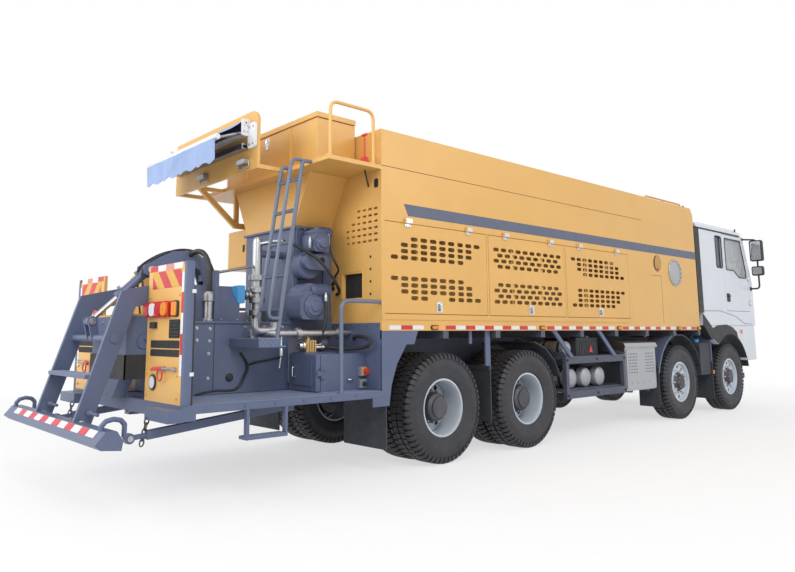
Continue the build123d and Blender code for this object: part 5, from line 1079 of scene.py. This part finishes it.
kit = Kit()
for flip in kit.sides():
    kit.box(-2.79, -0.895, 0.505 if flip > 0 else 0.52, 1.245, DECK_TOP, DECK_TOP + 0.0025, "deck")
    kit.box(-2.83, REAR_WALL, 1.25, 1.2515, 0.715, 0.765, "slate")
    kit.bolts([(-2.32 + 0.28 * n, 1.25, 0.74) for n in range(5)], "+y", 0.01, "slate")
    kit.box(-2.295, -1.927, 1.135, 1.245, 0.5, 0.5025, "deck")
    kit.lathe((-3.08, 0.88, 0.53), "+y", [(0.022, -0.034), (0.022, 0.034)], "steel", 20)
    for n in range(5):
        middle = Vector((-2.945, 0.88, 0.665)).lerp(Vector((-2.985, 0.88, 0.47)), (n + 0.5) / 5)
        link = [(0.028 * u, 0.016 * v) for u, v in circle(0, 0, 1, 12)]
        down = Vector((-0.2, 0, -0.98))
        across = Vector((0, 1, 0)) if n % 2 else Vector((0.98, 0, -0.2))
        kit.loop([middle + down * u + across * v for u, v in link], 0.006, "iron", 8)
kit.box(-1.465, -1.456, -0.93, -0.62, 0.83, 1.06, "slate")
kit.tube([(-1.458, -0.66, 0.9), (-1.485, -0.66, 0.9), (-1.485, -0.66, 0.99), (-1.458, -0.66, 0.99)], 0.007,
         "chrome", 0.012)
kit.build("deck_details")

kit = Kit()
kit.box(-0.965, -0.865, -1.03, -0.99, 0.9, 0.985, "lug")
kit.prism(soft_rect(-0.952, 0.905, -0.875, 0.98, 0.012), "y", -1.034, -1.03, "chevron")
kit.lathe((-0.913, -1.03, 0.943), "-y", [
    (0.026, 0), (0.026, 0.008), (0.018, 0.01), (0.018, 0.024), (0.028, 0.026), (0.028, 0.036), (0, 0.038),
], "signal", 20)
kit.box(-0.965, -0.875, -1.025, -0.99, 0.785, 0.87, "lug")
kit.lathe((-0.923, -1.025, 0.827), "-y", [(0.022, 0), (0.022, 0.02), (0, 0.022)], "black", 18)
kit.tube([(-1.1, -0.99, 0.873), (-1.1, -1.02, 0.873), (-1.04, -1.02, 0.873), (-1.04, -0.99, 0.873)], 0.007,
         "chrome", 0.012)
kit.build("cabinet_controls", bevel=0.003)


# Rear lamp plates

def clipped(outline, low, high):
    """An outline cut off below and above two values of its first coordinate."""
    for limit, sign in ((low, 1), (high, -1)):
        kept = []
        for (u0, v0), (u1, v1) in zip(outline, outline[1:] + outline[:1]):
            in0, in1 = sign * (u0 - limit) >= 0, sign * (u1 - limit) >= 0
            if in0:
                kept.append((u0, v0))
            if in0 != in1:
                t = (limit - u0) / (u1 - u0)
                kept.append((limit, v0 + (v1 - v0) * t))
        outline = kept
    return outline


kit = Kit()
FACE = -2.83
for flip in kit.sides():
    for n, look in enumerate(("tape_white", "tape_pale", "tape_white", "tape_red")):
        y = 1.15 - 0.15 * (n + 1)
        kit.box(FACE - 0.0014, FACE, y + 0.001, y + 0.149, 1.802, 1.848, look)
    kit.box(FACE - 0.0012, FACE, 0.608, 1.148, 1.66, 1.796, "chevron")
    for n in range(-2, 4):
        y = 0.708 + 0.27 * n
        stripe = clipped([(y, 1.796), (y + 0.135, 1.796), (y + 0.271, 1.66), (y + 0.136, 1.66)], 0.608,
                         1.148)
        if len(stripe) > 2:
            kit.prism(stripe, "x", FACE - 0.002, FACE - 0.0012, "tape_red")
    for n in range(5):
        z = 1.77 - 0.157 * n
        kit.box(FACE - 0.0014, FACE, 1.15, 1.192, z - 0.155, z, ("tape_white", "tape_red")[n % 2])
    kit.box(FACE - 0.022, FACE, 0.62, 0.72, 1.345, 1.395, "black")
    # painted shade: near-black sheets behind the vent slats and in the grooves
    kit.prism(soft_rect(0.953, 1.267, 1.14, 1.41, 0.01), "x", FACE - 0.004, FACE, "dark")
    for n in range(5):
        kit.box(FACE - 0.01, FACE - 0.004, 0.965, 1.128, 1.283 + 0.026 * n, 1.291 + 0.026 * n, "black")
    kit.prism(soft_rect(0.615, 1.19, 1.14, 1.25, 0.006), "x", FACE - 0.003, FACE, "dark")
    kit.prism(soft_rect(0.615, 1.126, 1.14, 1.18, 0.006), "x", FACE - 0.003, FACE, "dark")
    kit.rod((FACE - 0.024, 0.84, 1.035), (FACE - 0.024, 1.12, 1.035), 0.01, "steel")
    for y in (0.9, 1.08):
        kit.box(FACE - 0.026, FACE, y - 0.01, y + 0.01, 1.02, 1.05, "steel")
    kit.tube([(FACE - 0.024, 0.89, 1.035), (FACE - 0.034, 0.84, 1.035), (FACE - 0.04, 0.75, 1.025)], 0.014,
             "signal", 0.02)
    kit.loop([(FACE - 0.03, u, v) for u, v in circle(0.87, 0.985, 0.045, 16)], 0.006, "signal")
    kit.bolts([(FACE, y, z) for y in (0.56, 1.12) for z in (0.82, 0.99, 1.6)], "-x", 0.01, "yellow")
    kit.prism([(1.198, DECK_TOP), (1.24, DECK_TOP), (1.24, 1.79), (1.225, 1.83), (1.198, 1.85)], "x",
              FACE - 0.004, FACE + 0.034, "slate")
    for z in (1.62, 1.0):
        kit.lathe((-2.77, 1.215, z), "+z", [(0.026, -0.014), (0.026, 0.014)], "tape_white", 18)
kit.build("lamp_plate_details")

kit = Kit()
for flip in kit.sides():
    kit.prism(soft_rect(0.535, 1.43, 0.985, 1.555, 0.02), "x", FACE - 0.034, FACE, "red")
    for n, look in enumerate(("red", "lens", "red", "amber")):
        y0 = 0.546 + 0.1085 * n
        kit.prism(soft_rect(y0, 1.442, y0 + 0.1, 1.543, 0.035), "x", FACE - 0.05, FACE - 0.03, look)
    kit.prism(soft_rect(1.004, 1.43, 1.111, 1.555, 0.02), "x", FACE - 0.016, FACE, "black")
    kit.prism(soft_rect(1.014, 1.44, 1.101, 1.545, 0.015), "x", FACE - 0.024, FACE - 0.014, "amber")
    kit.lathe((FACE, 0.686, 0.92), "-x", [
        (0.064, 0.0), (0.064, 0.009), (0.054, 0.012), (0.0, 0.013),
    ], "black", 36)
    kit.lathe((FACE - 0.01, 0.686, 0.92), "-x", [(0.048, 0.0), (0.048, 0.0045), (0.0, 0.005)], "lens", 36)
    head = [(8.308, 0.96), (8.348, 0.76), (8.372, 0.768), (8.332, 0.968)]
    kit.prism(head, "z", 0.93, 1.13, "lens")
    for share in (0.28, 0.72):
        x, y = 8.352 - 0.04 * share, 0.768 + 0.2 * share
        kit.lathe((x, y, 1.03), (-0.98, -0.196, 0), [
            (0.075, 0.0), (0.07, 0.012), (0.03, 0.03),
        ], "chrome", 28)
    kit.box(8.31, 8.345, 0.985, 1.05, 0.95, 1.11, "amber")
kit.build("lamps_fine", bevel=0.003, replaces=("lamps",))

hoses("lamp_cables", [
    [(-2.765, side * 1.215, 0.775), (-2.765, side * 1.215, 1.0), (-2.765, side * 1.215, 1.3),
     (-2.765, side * 1.215, 1.62), (-2.77, side * 1.17, 1.74), (-2.795, side * 1.1, 1.76)]
    for side in (1, -1)
] + [
    [(-2.785, side * 0.66, 1.37), (-2.74, side * 0.64, 1.3), (-2.72, side * 0.62, 1.0),
     (-2.7, side * 0.6, 0.775)]
    for side in (1, -1)
], 0.016)


# Rear guard with its cylinder

kit = Kit()
down = Vector((0.636, 0, 0.772))
out = Vector((-0.772, 0, 0.636))
start = Vector((-3.45, 0, 0.555)) + down * 0.006
for n in range(13):
    y1 = 1.0 - 0.162 * n
    corners = []
    for lift in (0.0, 0.0016):
        ring = []
        for y, far in ((y1, 0.043), (y1 - 0.1605, 0.043), (y1 - 0.1605, 0.098), (y1, 0.098)):
            spot = start + down * far + out * lift
            ring.append((spot.x, y, spot.z))
        corners.append(ring)
    kit.loft(corners, ("tape_white", "tape_red")[n % 2])
for flip in kit.sides():
    ring = [(-3.373, 0.63), (-3.373, 0.67), (-3.345, 0.7), (-3.293, 0.711), (-3.241, 0.7), (-3.213, 0.67),
            (-3.213, 0.58)]
    kit.tube([(x, 1.13, z) for x, z in ring], 0.018, "slate", 0.02, 12)
    kit.lathe((-3.31, 0.47, 0.62), "+y", [(0.028, 0.0), (0.028, 0.062), (0.018, 0.066)], "steel", 20)
    kit.lathe((-2.6, 0.475, 1.68), "+y", [(0.058, 0.0), (0.058, 0.052)], "slate", 28)
    kit.lathe((-3.085, 0.515, 1.27), "+y", [(0.045, 0.0), (0.045, 0.014), (0.0, 0.016)], "slate", 24)
    kit.lathe((-3.118, 0.066, 1.41), "+y", [(0.03, 0.0), (0.03, 0.012), (0.0, 0.014)], "steel", 20)
for y in (-0.5, 0.5):
    kit.lathe((-3.26, y, 0.7), "-y", [
        (0.024, 0.0), (0.024, 0.08), (0.013, 0.085), (0.013, 0.22), (0.0, 0.225),
    ], "slate", 18)
kit.box(-3.285, -3.165, -0.475, 0.475, 0.985, 0.988, "deck")
kit.build("guard_details", "guard")

base, eye = Vector((-2.63, 0, 1.874)), Vector((-3.118, 0, 1.41))
line = (eye - base).normalized()
kit = Kit()
kit.lathe(base, line, [
    (0.04, 0.03), (0.043, 0.04), (0.04, 0.05), (0.04, 0.33), (0.046, 0.334), (0.046, 0.366), (0.042, 0.372),
    (0.0225, 0.372),
], "slate", 32)
kit.lathe(base, "+y", [(0.042, -0.045), (0.042, 0.045)], "slate", 28)
for far in (0.1, 0.3):
    spot = base + line * far
    kit.lathe(spot + Vector((-0.028, 0, 0.03)), Vector((-0.69, 0, 0.72)), [
        (0.014, 0.0), (0.014, 0.028), (0.0, 0.03),
    ], "steel", 14)
kit.build("cylinder_barrel_fine", "cylinder_barrel", replaces=("cylinder_barrel",))
kit = Kit()
length = (eye - base).length
kit.lathe(base, line, [(0.022, 0.305), (0.022, length - 0.03)], "steel", 28)
kit.lathe(base, line, [
    (0.024, length - 0.042), (0.03, length - 0.036), (0.03, length - 0.02), (0.02, length),
], "slate", 24)
kit.lathe(eye, "+y", [(0.034, -0.04), (0.034, 0.04)], "slate", 28)
kit.build("cylinder_rod_fine", "cylinder_rod", replaces=("cylinder_rod",))


# Tanks, battery and exhaust box

kit = Kit()
for x, z, r, y0, y1 in ((2.4, 0.725, 0.125, 0.595, 1.14), (2.73, 0.725, 0.125, 0.595, 1.14),
                        (3.06, 0.725, 0.125, 0.595, 1.14), (2.34, 1.095, 0.095, 0.7, 1.13)):
    long = y1 - y0
    kit.lathe((x, -y0, z), "-y", [
        (0.0, 0.0), (r * 0.6, 0.012), (r * 0.92, 0.035), (r, 0.065), (r, long - 0.065),
        (r * 0.92, long - 0.035), (r * 0.6, long - 0.012), (r * 0.2, long - 0.004), (r * 0.18, long),
        (0.0, long),
    ], "tank", 36)
    for share in (0.25, 0.75):
        y = -y0 - long * share
        strap = [(r + 0.002, -0.018), (r + 0.004, -0.016), (r + 0.004, 0.016), (r + 0.002, 0.018)]
        kit.lathe((x, y, z), "+y", strap, "black", 36)
kit.prism(soft_rect(3.58, 0.5, 4.43, 1.105, 0.03), "y", -1.19, -0.475, "alu")
kit.prism(soft_rect(3.605, 0.525, 4.405, 1.06, 0.02), "y", -1.2, -1.19, "alu")
for row in range(2, 9):
    for n in (*range(6), *range(11, 17)):
        x = 3.665 + 0.042 * n
        # painted shade: dark dots for the holes of the perforated cover
        kit.lathe((x, -1.2002, 0.66 + 0.042 * row), "-y", [(0.009, 0.0), (0.009, 0.0008)], "dark", 8)
for n in range(4):
    x = 3.72 + 0.16 * n
    kit.prism(obround(x + 0.06, 0.6, 0.12, 0.022), "y", -1.204, -1.2, "alu")
lid = [(-0.5, 1.09), (-1.15, 1.09), (-1.206, 1.075), (-1.218, 1.1), (-1.196, 1.145), (-1.14, 1.163),
       (-0.5, 1.163)]
kit.prism(lid, "x", 3.555, 4.45, "alu")
kit.prism(soft_rect(0.475, 0.52, 1.2, 1.09, 0.09), "x", 2.15, 3.9, "alu")
for x in (2.5, 3.52):
    kit.prism(soft_rect(0.472, 0.517, 1.203, 1.093, 0.09), "x", x - 0.03, x + 0.03, "black")
kit.lathe((3.75, 1.05, 1.09), "+z", [
    (0.055, 0.0), (0.055, 0.035), (0.045, 0.045), (0.0, 0.046),
], "black", 24)
kit.build("side_tanks_fine", bevel=0.003, replaces=("side_tanks",))

kit = Kit()
for n in range(9):
    x = 2.5 + 0.055 * n
    kit.box(x, x + 0.022, -1.146, -1.138, 1.01, 1.19, "black")
kit.box(2.475, 2.985, -1.145, -0.655, 1.195, 1.228, "black")
kit.prism([(2.76, 1.04), (2.84, 1.04), (2.8, 1.14)], "y", -1.156, -1.146, "signal")
kit.box(2.6, 2.72, -1.12, -0.98, 1.228, 1.25, "black")
kit.lathe((2.88, -1.05, 1.228), "+z", [(0.018, 0.0), (0.018, 0.02), (0.0, 0.022)], "steel", 16)
kit.lathe((5.97, -1.1, 1.158), "+z", [
    (0.048, -0.03), (0.048, 0.012), (0.042, 0.018), (0.0, 0.019),
], "sky", 24)
kit.bolts([(x, -1.205, z) for x in (2.18, 2.85, 3.53) for z in (0.53, 0.955)], "-y", 0.013, "black")
for flip in kit.sides():
    band = arc(AXLES[2], WHEEL_R, 0.736, 98, 168, 18) + arc(AXLES[2], WHEEL_R, 0.717, 168, 98, 18)
    kit.prism(band, "y", 0.92, 1.218, "slate")
    lip = [(u, 1.216, v) for u, v in arc(AXLES[2], WHEEL_R, 0.728, 98, 168, 18)]
    kit.tube(lip, 0.011, "slate", 0.02, 10)
    kit.box(6.254, 6.276, 0.94, 1.215, 0.8, 1.26, "slate")
    kit.prism(soft_rect(6.3, 0.62, 6.34, 0.68, 0.01), "y", 1.19, 1.212, "amber")
    kit.box(6.27, 6.33, 1.185, 1.2, 0.63, 0.67, "black")
    kit.box(0.66, 0.74, 1.17, 1.19, 0.94, 1.325, "slate")
    kit.box(0.4, 0.44, 1.17, 1.19, 1.18, 1.325, "slate")
for x in (1.85, 2.85):
    kit.prism([(x, 1.325), (x + 0.085, 1.325), (x + 0.46, 0.99), (x + 0.375, 0.99)], "y", -1.226, -1.2,
              "slate")
kit.lathe((4.23, -1.15, 1.265), "-y", [
    (0.016, 0.0), (0.04, 0.004), (0.04, 0.014), (0.016, 0.02), (0.0, 0.021),
], "signal", 20)
kit.tube([(4.23, -1.15, 1.265), (4.23, -1.06, 1.265), (4.23, -1.06, 1.33)], 0.014, "steel", 0.03)
kit.build("chassis_details", bevel=0.002)


# Mirrors and cab

kit = Kit()
for flip in kit.sides():
    kit.tube([(7.8, CAB_SIDE + 0.0005, 2.94), (MIRROR_X, MIRROR_Y, 2.94), (MIRROR_X, MIRROR_Y, 2.06),
              (MIRROR_X, CAB_SIDE + 0.0005, 2.06)], 0.015, "black", 0.06)
    for z0, z1, half_x, half_y in ((2.55, 2.93, 0.06, 0.11), (2.29, 2.46, 0.05, 0.1)):
        rings = []
        for share, grow in ((0.0, 0.86), (0.1, 0.97), (0.5, 1.0), (0.8, 0.93), (1.0, 0.7)):
            x = MIRROR_X - half_x + 2 * half_x * share
            wide, lower = half_y * grow, (1 - grow) * 0.06
            edge = soft_rect(MIRROR_Y - wide, z0 + lower, MIRROR_Y + wide, z1 - lower, 0.03)
            rings.append([(x, u, v) for u, v in edge])
        kit.loft(rings, "black")
        glass = soft_rect(MIRROR_Y - half_y * 0.78, z0 + 0.022, MIRROR_Y + half_y * 0.78, z1 - 0.022, 0.024)
        kit.prism(glass, "x", MIRROR_X - half_x - 0.0012, MIRROR_X - half_x + 0.002, "chrome")
    kit.lathe((MIRROR_X, CAB_SIDE + 0.001, 2.06), "+y", [
        (0.035, 0.0), (0.035, 0.012), (0.016, 0.02),
    ], "black", 18)
    kit.lathe((7.8, CAB_SIDE + 0.001, 2.94), "+y", [
        (0.026, 0.0), (0.026, 0.01), (0.016, 0.016),
    ], "black", 18)
kit.build("mirrors_fine", replaces=("mirrors",))

DOOR_WINDOW = [(7.02, 2.35), (7.33, 2.35), (7.53, 2.24), (7.855, 2.24), (7.855, 2.36), (7.68, 2.9),
               (7.02, 2.9)]
for side, flip in (("right", -1), ("left", 1)):
    kit = Kit(flip=flip)
    ring = rounded([(x, CAB_SIDE + 0.001, z) for x, z in DOOR_WINDOW + DOOR_WINDOW[:2]], 0.03, 4)[1:-1]
    kit.loop(ring, 0.009, "black", 8)
    kit.prism(soft_rect(6.965, 1.8, 7.1, 1.945, 0.02), "y", CAB_SIDE, CAB_SIDE + 0.0035, "black")
    kit.tube([(6.98, CAB_SIDE + 0.003, 1.9), (6.98, 1.262, 1.9), (7.085, 1.262, 1.9),
              (7.085, CAB_SIDE + 0.003, 1.9)], 0.01, "black", 0.015)
    kit.box(6.95, 7.91, CAB_SIDE, CAB_SIDE + 0.0025, 1.7, 1.712, "white")
    kit.build(f"door_trim_{side}", f"cab_door_{side}")

kit = Kit()
for flip in kit.sides():
    quarter = soft_rect(6.64, 2.37, 6.88, 2.91, 0.035)
    kit.loop([(u, CAB_SIDE + 0.001, v) for u, v in quarter], 0.009, "black", 8)
    kit.box(5.862, 6.03, 1.236, CAB_SIDE + 0.004, 1.6, 2.985, "black")
    kit.tube([(5.87, CAB_SIDE + 0.002, 2.985), (7.66, CAB_SIDE + 0.002, 2.985)], 0.013, "black")
    liner = [(5.965, 1.6), (6.319, 1.356), (6.5, 1.4), (6.862, 1.415), (7.1, 1.37), (7.268, 1.289)]
    liner += arc(AXLES[1], WHEEL_R, 0.716, 63, 131, 14)
    liner += [(6.3, 1.18), (6.25, 1.18), (6.0, 1.4), (5.965, 1.4)]
    kit.prism(liner, "y", CAB_SIDE, CAB_SIDE + 0.0025, "black")
    edge = [(5.995, 1.405), (6.252, 1.18), (6.3, 1.18), (6.29, 1.168), (6.245, 1.168), (5.985, 1.395)]
    kit.prism(edge, "y", 1.14, CAB_SIDE + 0.0025, "black")
    lining = arc(AXLES[1], WHEEL_R, 0.716, 12, 131, 20) + arc(AXLES[1], WHEEL_R, 0.704, 131, 12, 20)
    kit.prism(lining, "y", 1.06, CAB_SIDE + 0.0015, "black")
    # painted shadow: a thin grey line along the ridge where the wing bulges out
    ridge = [(5.975, CAB_SIDE + 0.001, 1.63), (6.65, CAB_SIDE + 0.001, 1.64),
             (7.25, CAB_SIDE + 0.001, 1.56), (7.64, CAB_SIDE + 0.001, 1.43), (7.93, CAB_SIDE + 0.001, 1.43)]
    kit.tube(ridge, 0.006, "lug", 0.5, 8)
    kit.prism(soft_rect(7.425, 1.262, 7.485, 1.326, 0.014), "y", CAB_SIDE, 1.26, "amber")
    kit.rod((7.62, 1.2, 3.02), (7.6, 1.215, 3.115), 0.011, "black", 12)
    kit.rod((8.195, 0.12, 2.02), (8.03, 0.55, 2.46), 0.008, "black", 10)
    kit.rod((8.1, 0.3, 2.28), (7.98, 0.85, 2.6), 0.007, "black", 8)
kit.box(5.865, 5.965, -1.2, -0.78, 1.46, 3.02, "black")
for n in range(14):
    z = 1.9 + 0.075 * n
    kit.box(5.87, 5.96, -1.206, -1.2, z, z + 0.03, "inside")
kit.box(5.875, 5.955, 0.78, 1.16, 1.46, 2.3, "black")
kit.build("cab_details", bevel=0.002)


# Cab inside

def pillow(kit, centre, size):
    """A crowned closed cushion."""
    power, sides = 0.42, 28
    rings = []

    def swell(value):
        """A cosine or sine pulled towards a square."""
        return math.copysign(abs(value) ** power, value)

    for row in range(1, 14):
        a = math.pi * (row / 14 - 0.5)
        ring = []
        for k in range(sides):
            b = 2 * math.pi * k / sides
            ring.append((
                centre[0] + size[0] / 2 * swell(math.cos(a)) * swell(math.cos(b)),
                centre[1] + size[1] / 2 * swell(math.cos(a)) * swell(math.sin(b)),
                centre[2] + size[2] / 2 * swell(math.sin(a)),
            ))
        rings.append(ring)
    kit.loft(rings, "seat")


for side, y in (("right", -0.6), ("left", 0.6)):
    kit = Kit()
    pillow(kit, (6.93, y, 1.9), (0.5, 0.5, 0.15))
    pillow(kit, (6.62, y, 2.24), (0.14, 0.48, 0.62))
    pillow(kit, (6.57, y, 2.56), (0.1, 0.28, 0.16))
    seat = kit.build(f"seat_{side}", angle=60)
kit = Kit()
for y in (-0.6, 0.6):
    kit.box(6.68, 7.08, y - 0.2, y + 0.2, 1.452, 1.83, "inside")
inner = 8.24
kit.prism([(inner - 0.42, 1.76), (inner, 1.65), (inner, 1.86), (8.04, 1.99), (inner - 0.42, 1.96)], "y",
          -0.98, 0.98, "inside")
hub = Vector((inner - 0.62, 0.6, 2.01))
tilt = Vector((-2, 0, 1)).normalized()
kit.rod((inner - 0.3, 0.6, 1.85), hub, 0.032, "inside")
grip = [(0.21 + 0.014 * u, 0.013 + 0.013 * v) for u, v in circle(0, 0, 1, 8)]
kit.lathe(hub, tilt, grip, "black", 40, True)
kit.lathe(hub, tilt, [(0.06, 0.0), (0.06, 0.02), (0.0, 0.03)], "black", 24)
upward = tilt.cross(AXES["+y"]).normalized()
for angle in (math.radians(turn) for turn in (90, 210, 330)):
    spoke = upward * math.sin(angle) + AXES["+y"] * math.cos(angle)
    kit.rod(hub + tilt * 0.012, hub + tilt * 0.012 + spoke * 0.205, 0.012, "black", 10)
kit.build("cab_interior_fine", bevel=0.008, replaces=("cab_interior",))


# Stage, light and camera

def area_light(name, place, target, size, power, colour=(1, 1, 1)):
    """A soft area light aimed at a point."""
    data = bpy.data.lights.new(name, "AREA")
    data.shape = "RECTANGLE"
    data.size, data.size_y = size
    data.energy = power
    data.color = colour
    lamp = bpy.data.objects.new(name, data)
    lamp.location = place
    lamp.rotation_euler = (Vector(target) - Vector(place)).to_track_quat("-Z", "Y").to_euler()
    scene.collection.objects.link(lamp)


def seen_rays(tree):
    """1 for rays from the camera, in mirrors and through glass."""
    path = tree.nodes.new("ShaderNodeLightPath")
    seen = path.outputs["Is Camera Ray"]
    for name in ("Is Glossy Ray", "Is Transmission Ray"):
        seen = math_node(tree, "MAXIMUM", seen, path.outputs[name])
    return seen


def white_far_off(mat):
    """The floor keeps its shadows near the truck and turns plain white far from it."""
    tree = mat.node_tree
    coord = tree.nodes.new("ShaderNodeTexCoord")
    far = tree.nodes.new("ShaderNodeVectorMath")
    far.operation = "LENGTH"
    tree.links.new(coord.outputs["Object"], far.inputs[0])
    share = remap(tree, far.outputs["Value"], 4.5, 12.0, 0.62, 1.0)
    glow = tree.nodes.new("ShaderNodeEmission")
    glow.inputs["Strength"].default_value = 1.0
    glow.inputs["Color"].default_value = (1, 1, 1, 1)
    blend = tree.nodes.new("ShaderNodeMixShader")
    tree.links.new(math_node(tree, "MULTIPLY", seen_rays(tree), share), blend.inputs["Fac"])
    tree.links.new(tree.nodes["Principled BSDF"].outputs["BSDF"], blend.inputs[1])
    tree.links.new(glow.outputs["Emission"], blend.inputs[2])
    tree.links.new(blend.outputs["Shader"], tree.nodes["Material Output"].inputs["Surface"])


floor_mesh = bpy.data.meshes.new("floor")
floor_mesh.from_pydata([(-60, -60, 0), (60, -60, 0), (60, 60, 0), (-60, 60, 0)], [], [(0, 1, 2, 3)])
floor = bpy.data.objects.new("floor", floor_mesh)
scene.collection.objects.link(floor)
floor_look = rough_stuff("studio_floor", (0.86, 0.86, 0.87), 0.8, 40, 0.0004, vary=0.02)
white_far_off(floor_look)
floor_mesh.materials.append(floor_look)

world = bpy.data.worlds.new("studio")
scene.world = world
world.use_nodes = True
tree = world.node_tree
sky_light = tree.nodes["Background"]
sky_light.inputs["Color"].default_value = (0.93, 0.96, 1.0, 1)
sky_light.inputs["Strength"].default_value = 0.62
backdrop = tree.nodes.new("ShaderNodeBackground")
backdrop.inputs["Color"].default_value = (1, 1, 1, 1)
backdrop.inputs["Strength"].default_value = 1.0
choice = tree.nodes.new("ShaderNodeMixShader")
tree.links.new(seen_rays(tree), choice.inputs["Fac"])
tree.links.new(sky_light.outputs["Background"], choice.inputs[1])
tree.links.new(backdrop.outputs["Background"], choice.inputs[2])
tree.links.new(choice.outputs["Shader"], tree.nodes["World Output"].inputs["Surface"])
area_light("key", (-9, -12, 11), (0, 0, 1.2), (9, 7), 1250, (1.0, 0.97, 0.92))
area_light("fill", (-14, 3, 6), (-4, 0, 1.2), (8, 6), 750)
area_light("rim", (6, -14, 8), (3, 0, 1.5), (8, 6), 320)

scene.view_settings.view_transform = "Standard"
cam_data = bpy.data.cameras.new("photo_camera")
camera = bpy.data.objects.new("photo_camera", cam_data)
scene.collection.objects.link(camera)
scene.camera = camera
yaw, pitch, roll = math.radians(41.49), math.radians(8.16), math.radians(-0.3)
forward = Vector((math.cos(pitch) * math.sin(yaw), math.cos(pitch) * math.cos(yaw), math.sin(pitch)))
side = Vector((math.cos(yaw), -math.sin(yaw), 0))
up = side.cross(forward)
right = side * math.cos(roll) + up * math.sin(roll)
up = up * math.cos(roll) - side * math.sin(roll)
turn = Matrix((right, up, -forward)).transposed().to_4x4()
camera.matrix_world = Matrix.Translation((LAST_AXLE - 5.099, -6.021, 1.295)) @ turn
cam_data.sensor_width = 36
cam_data.lens = 30.62
cam_data.shift_x = 0.019
cam_data.shift_y = -0.0623
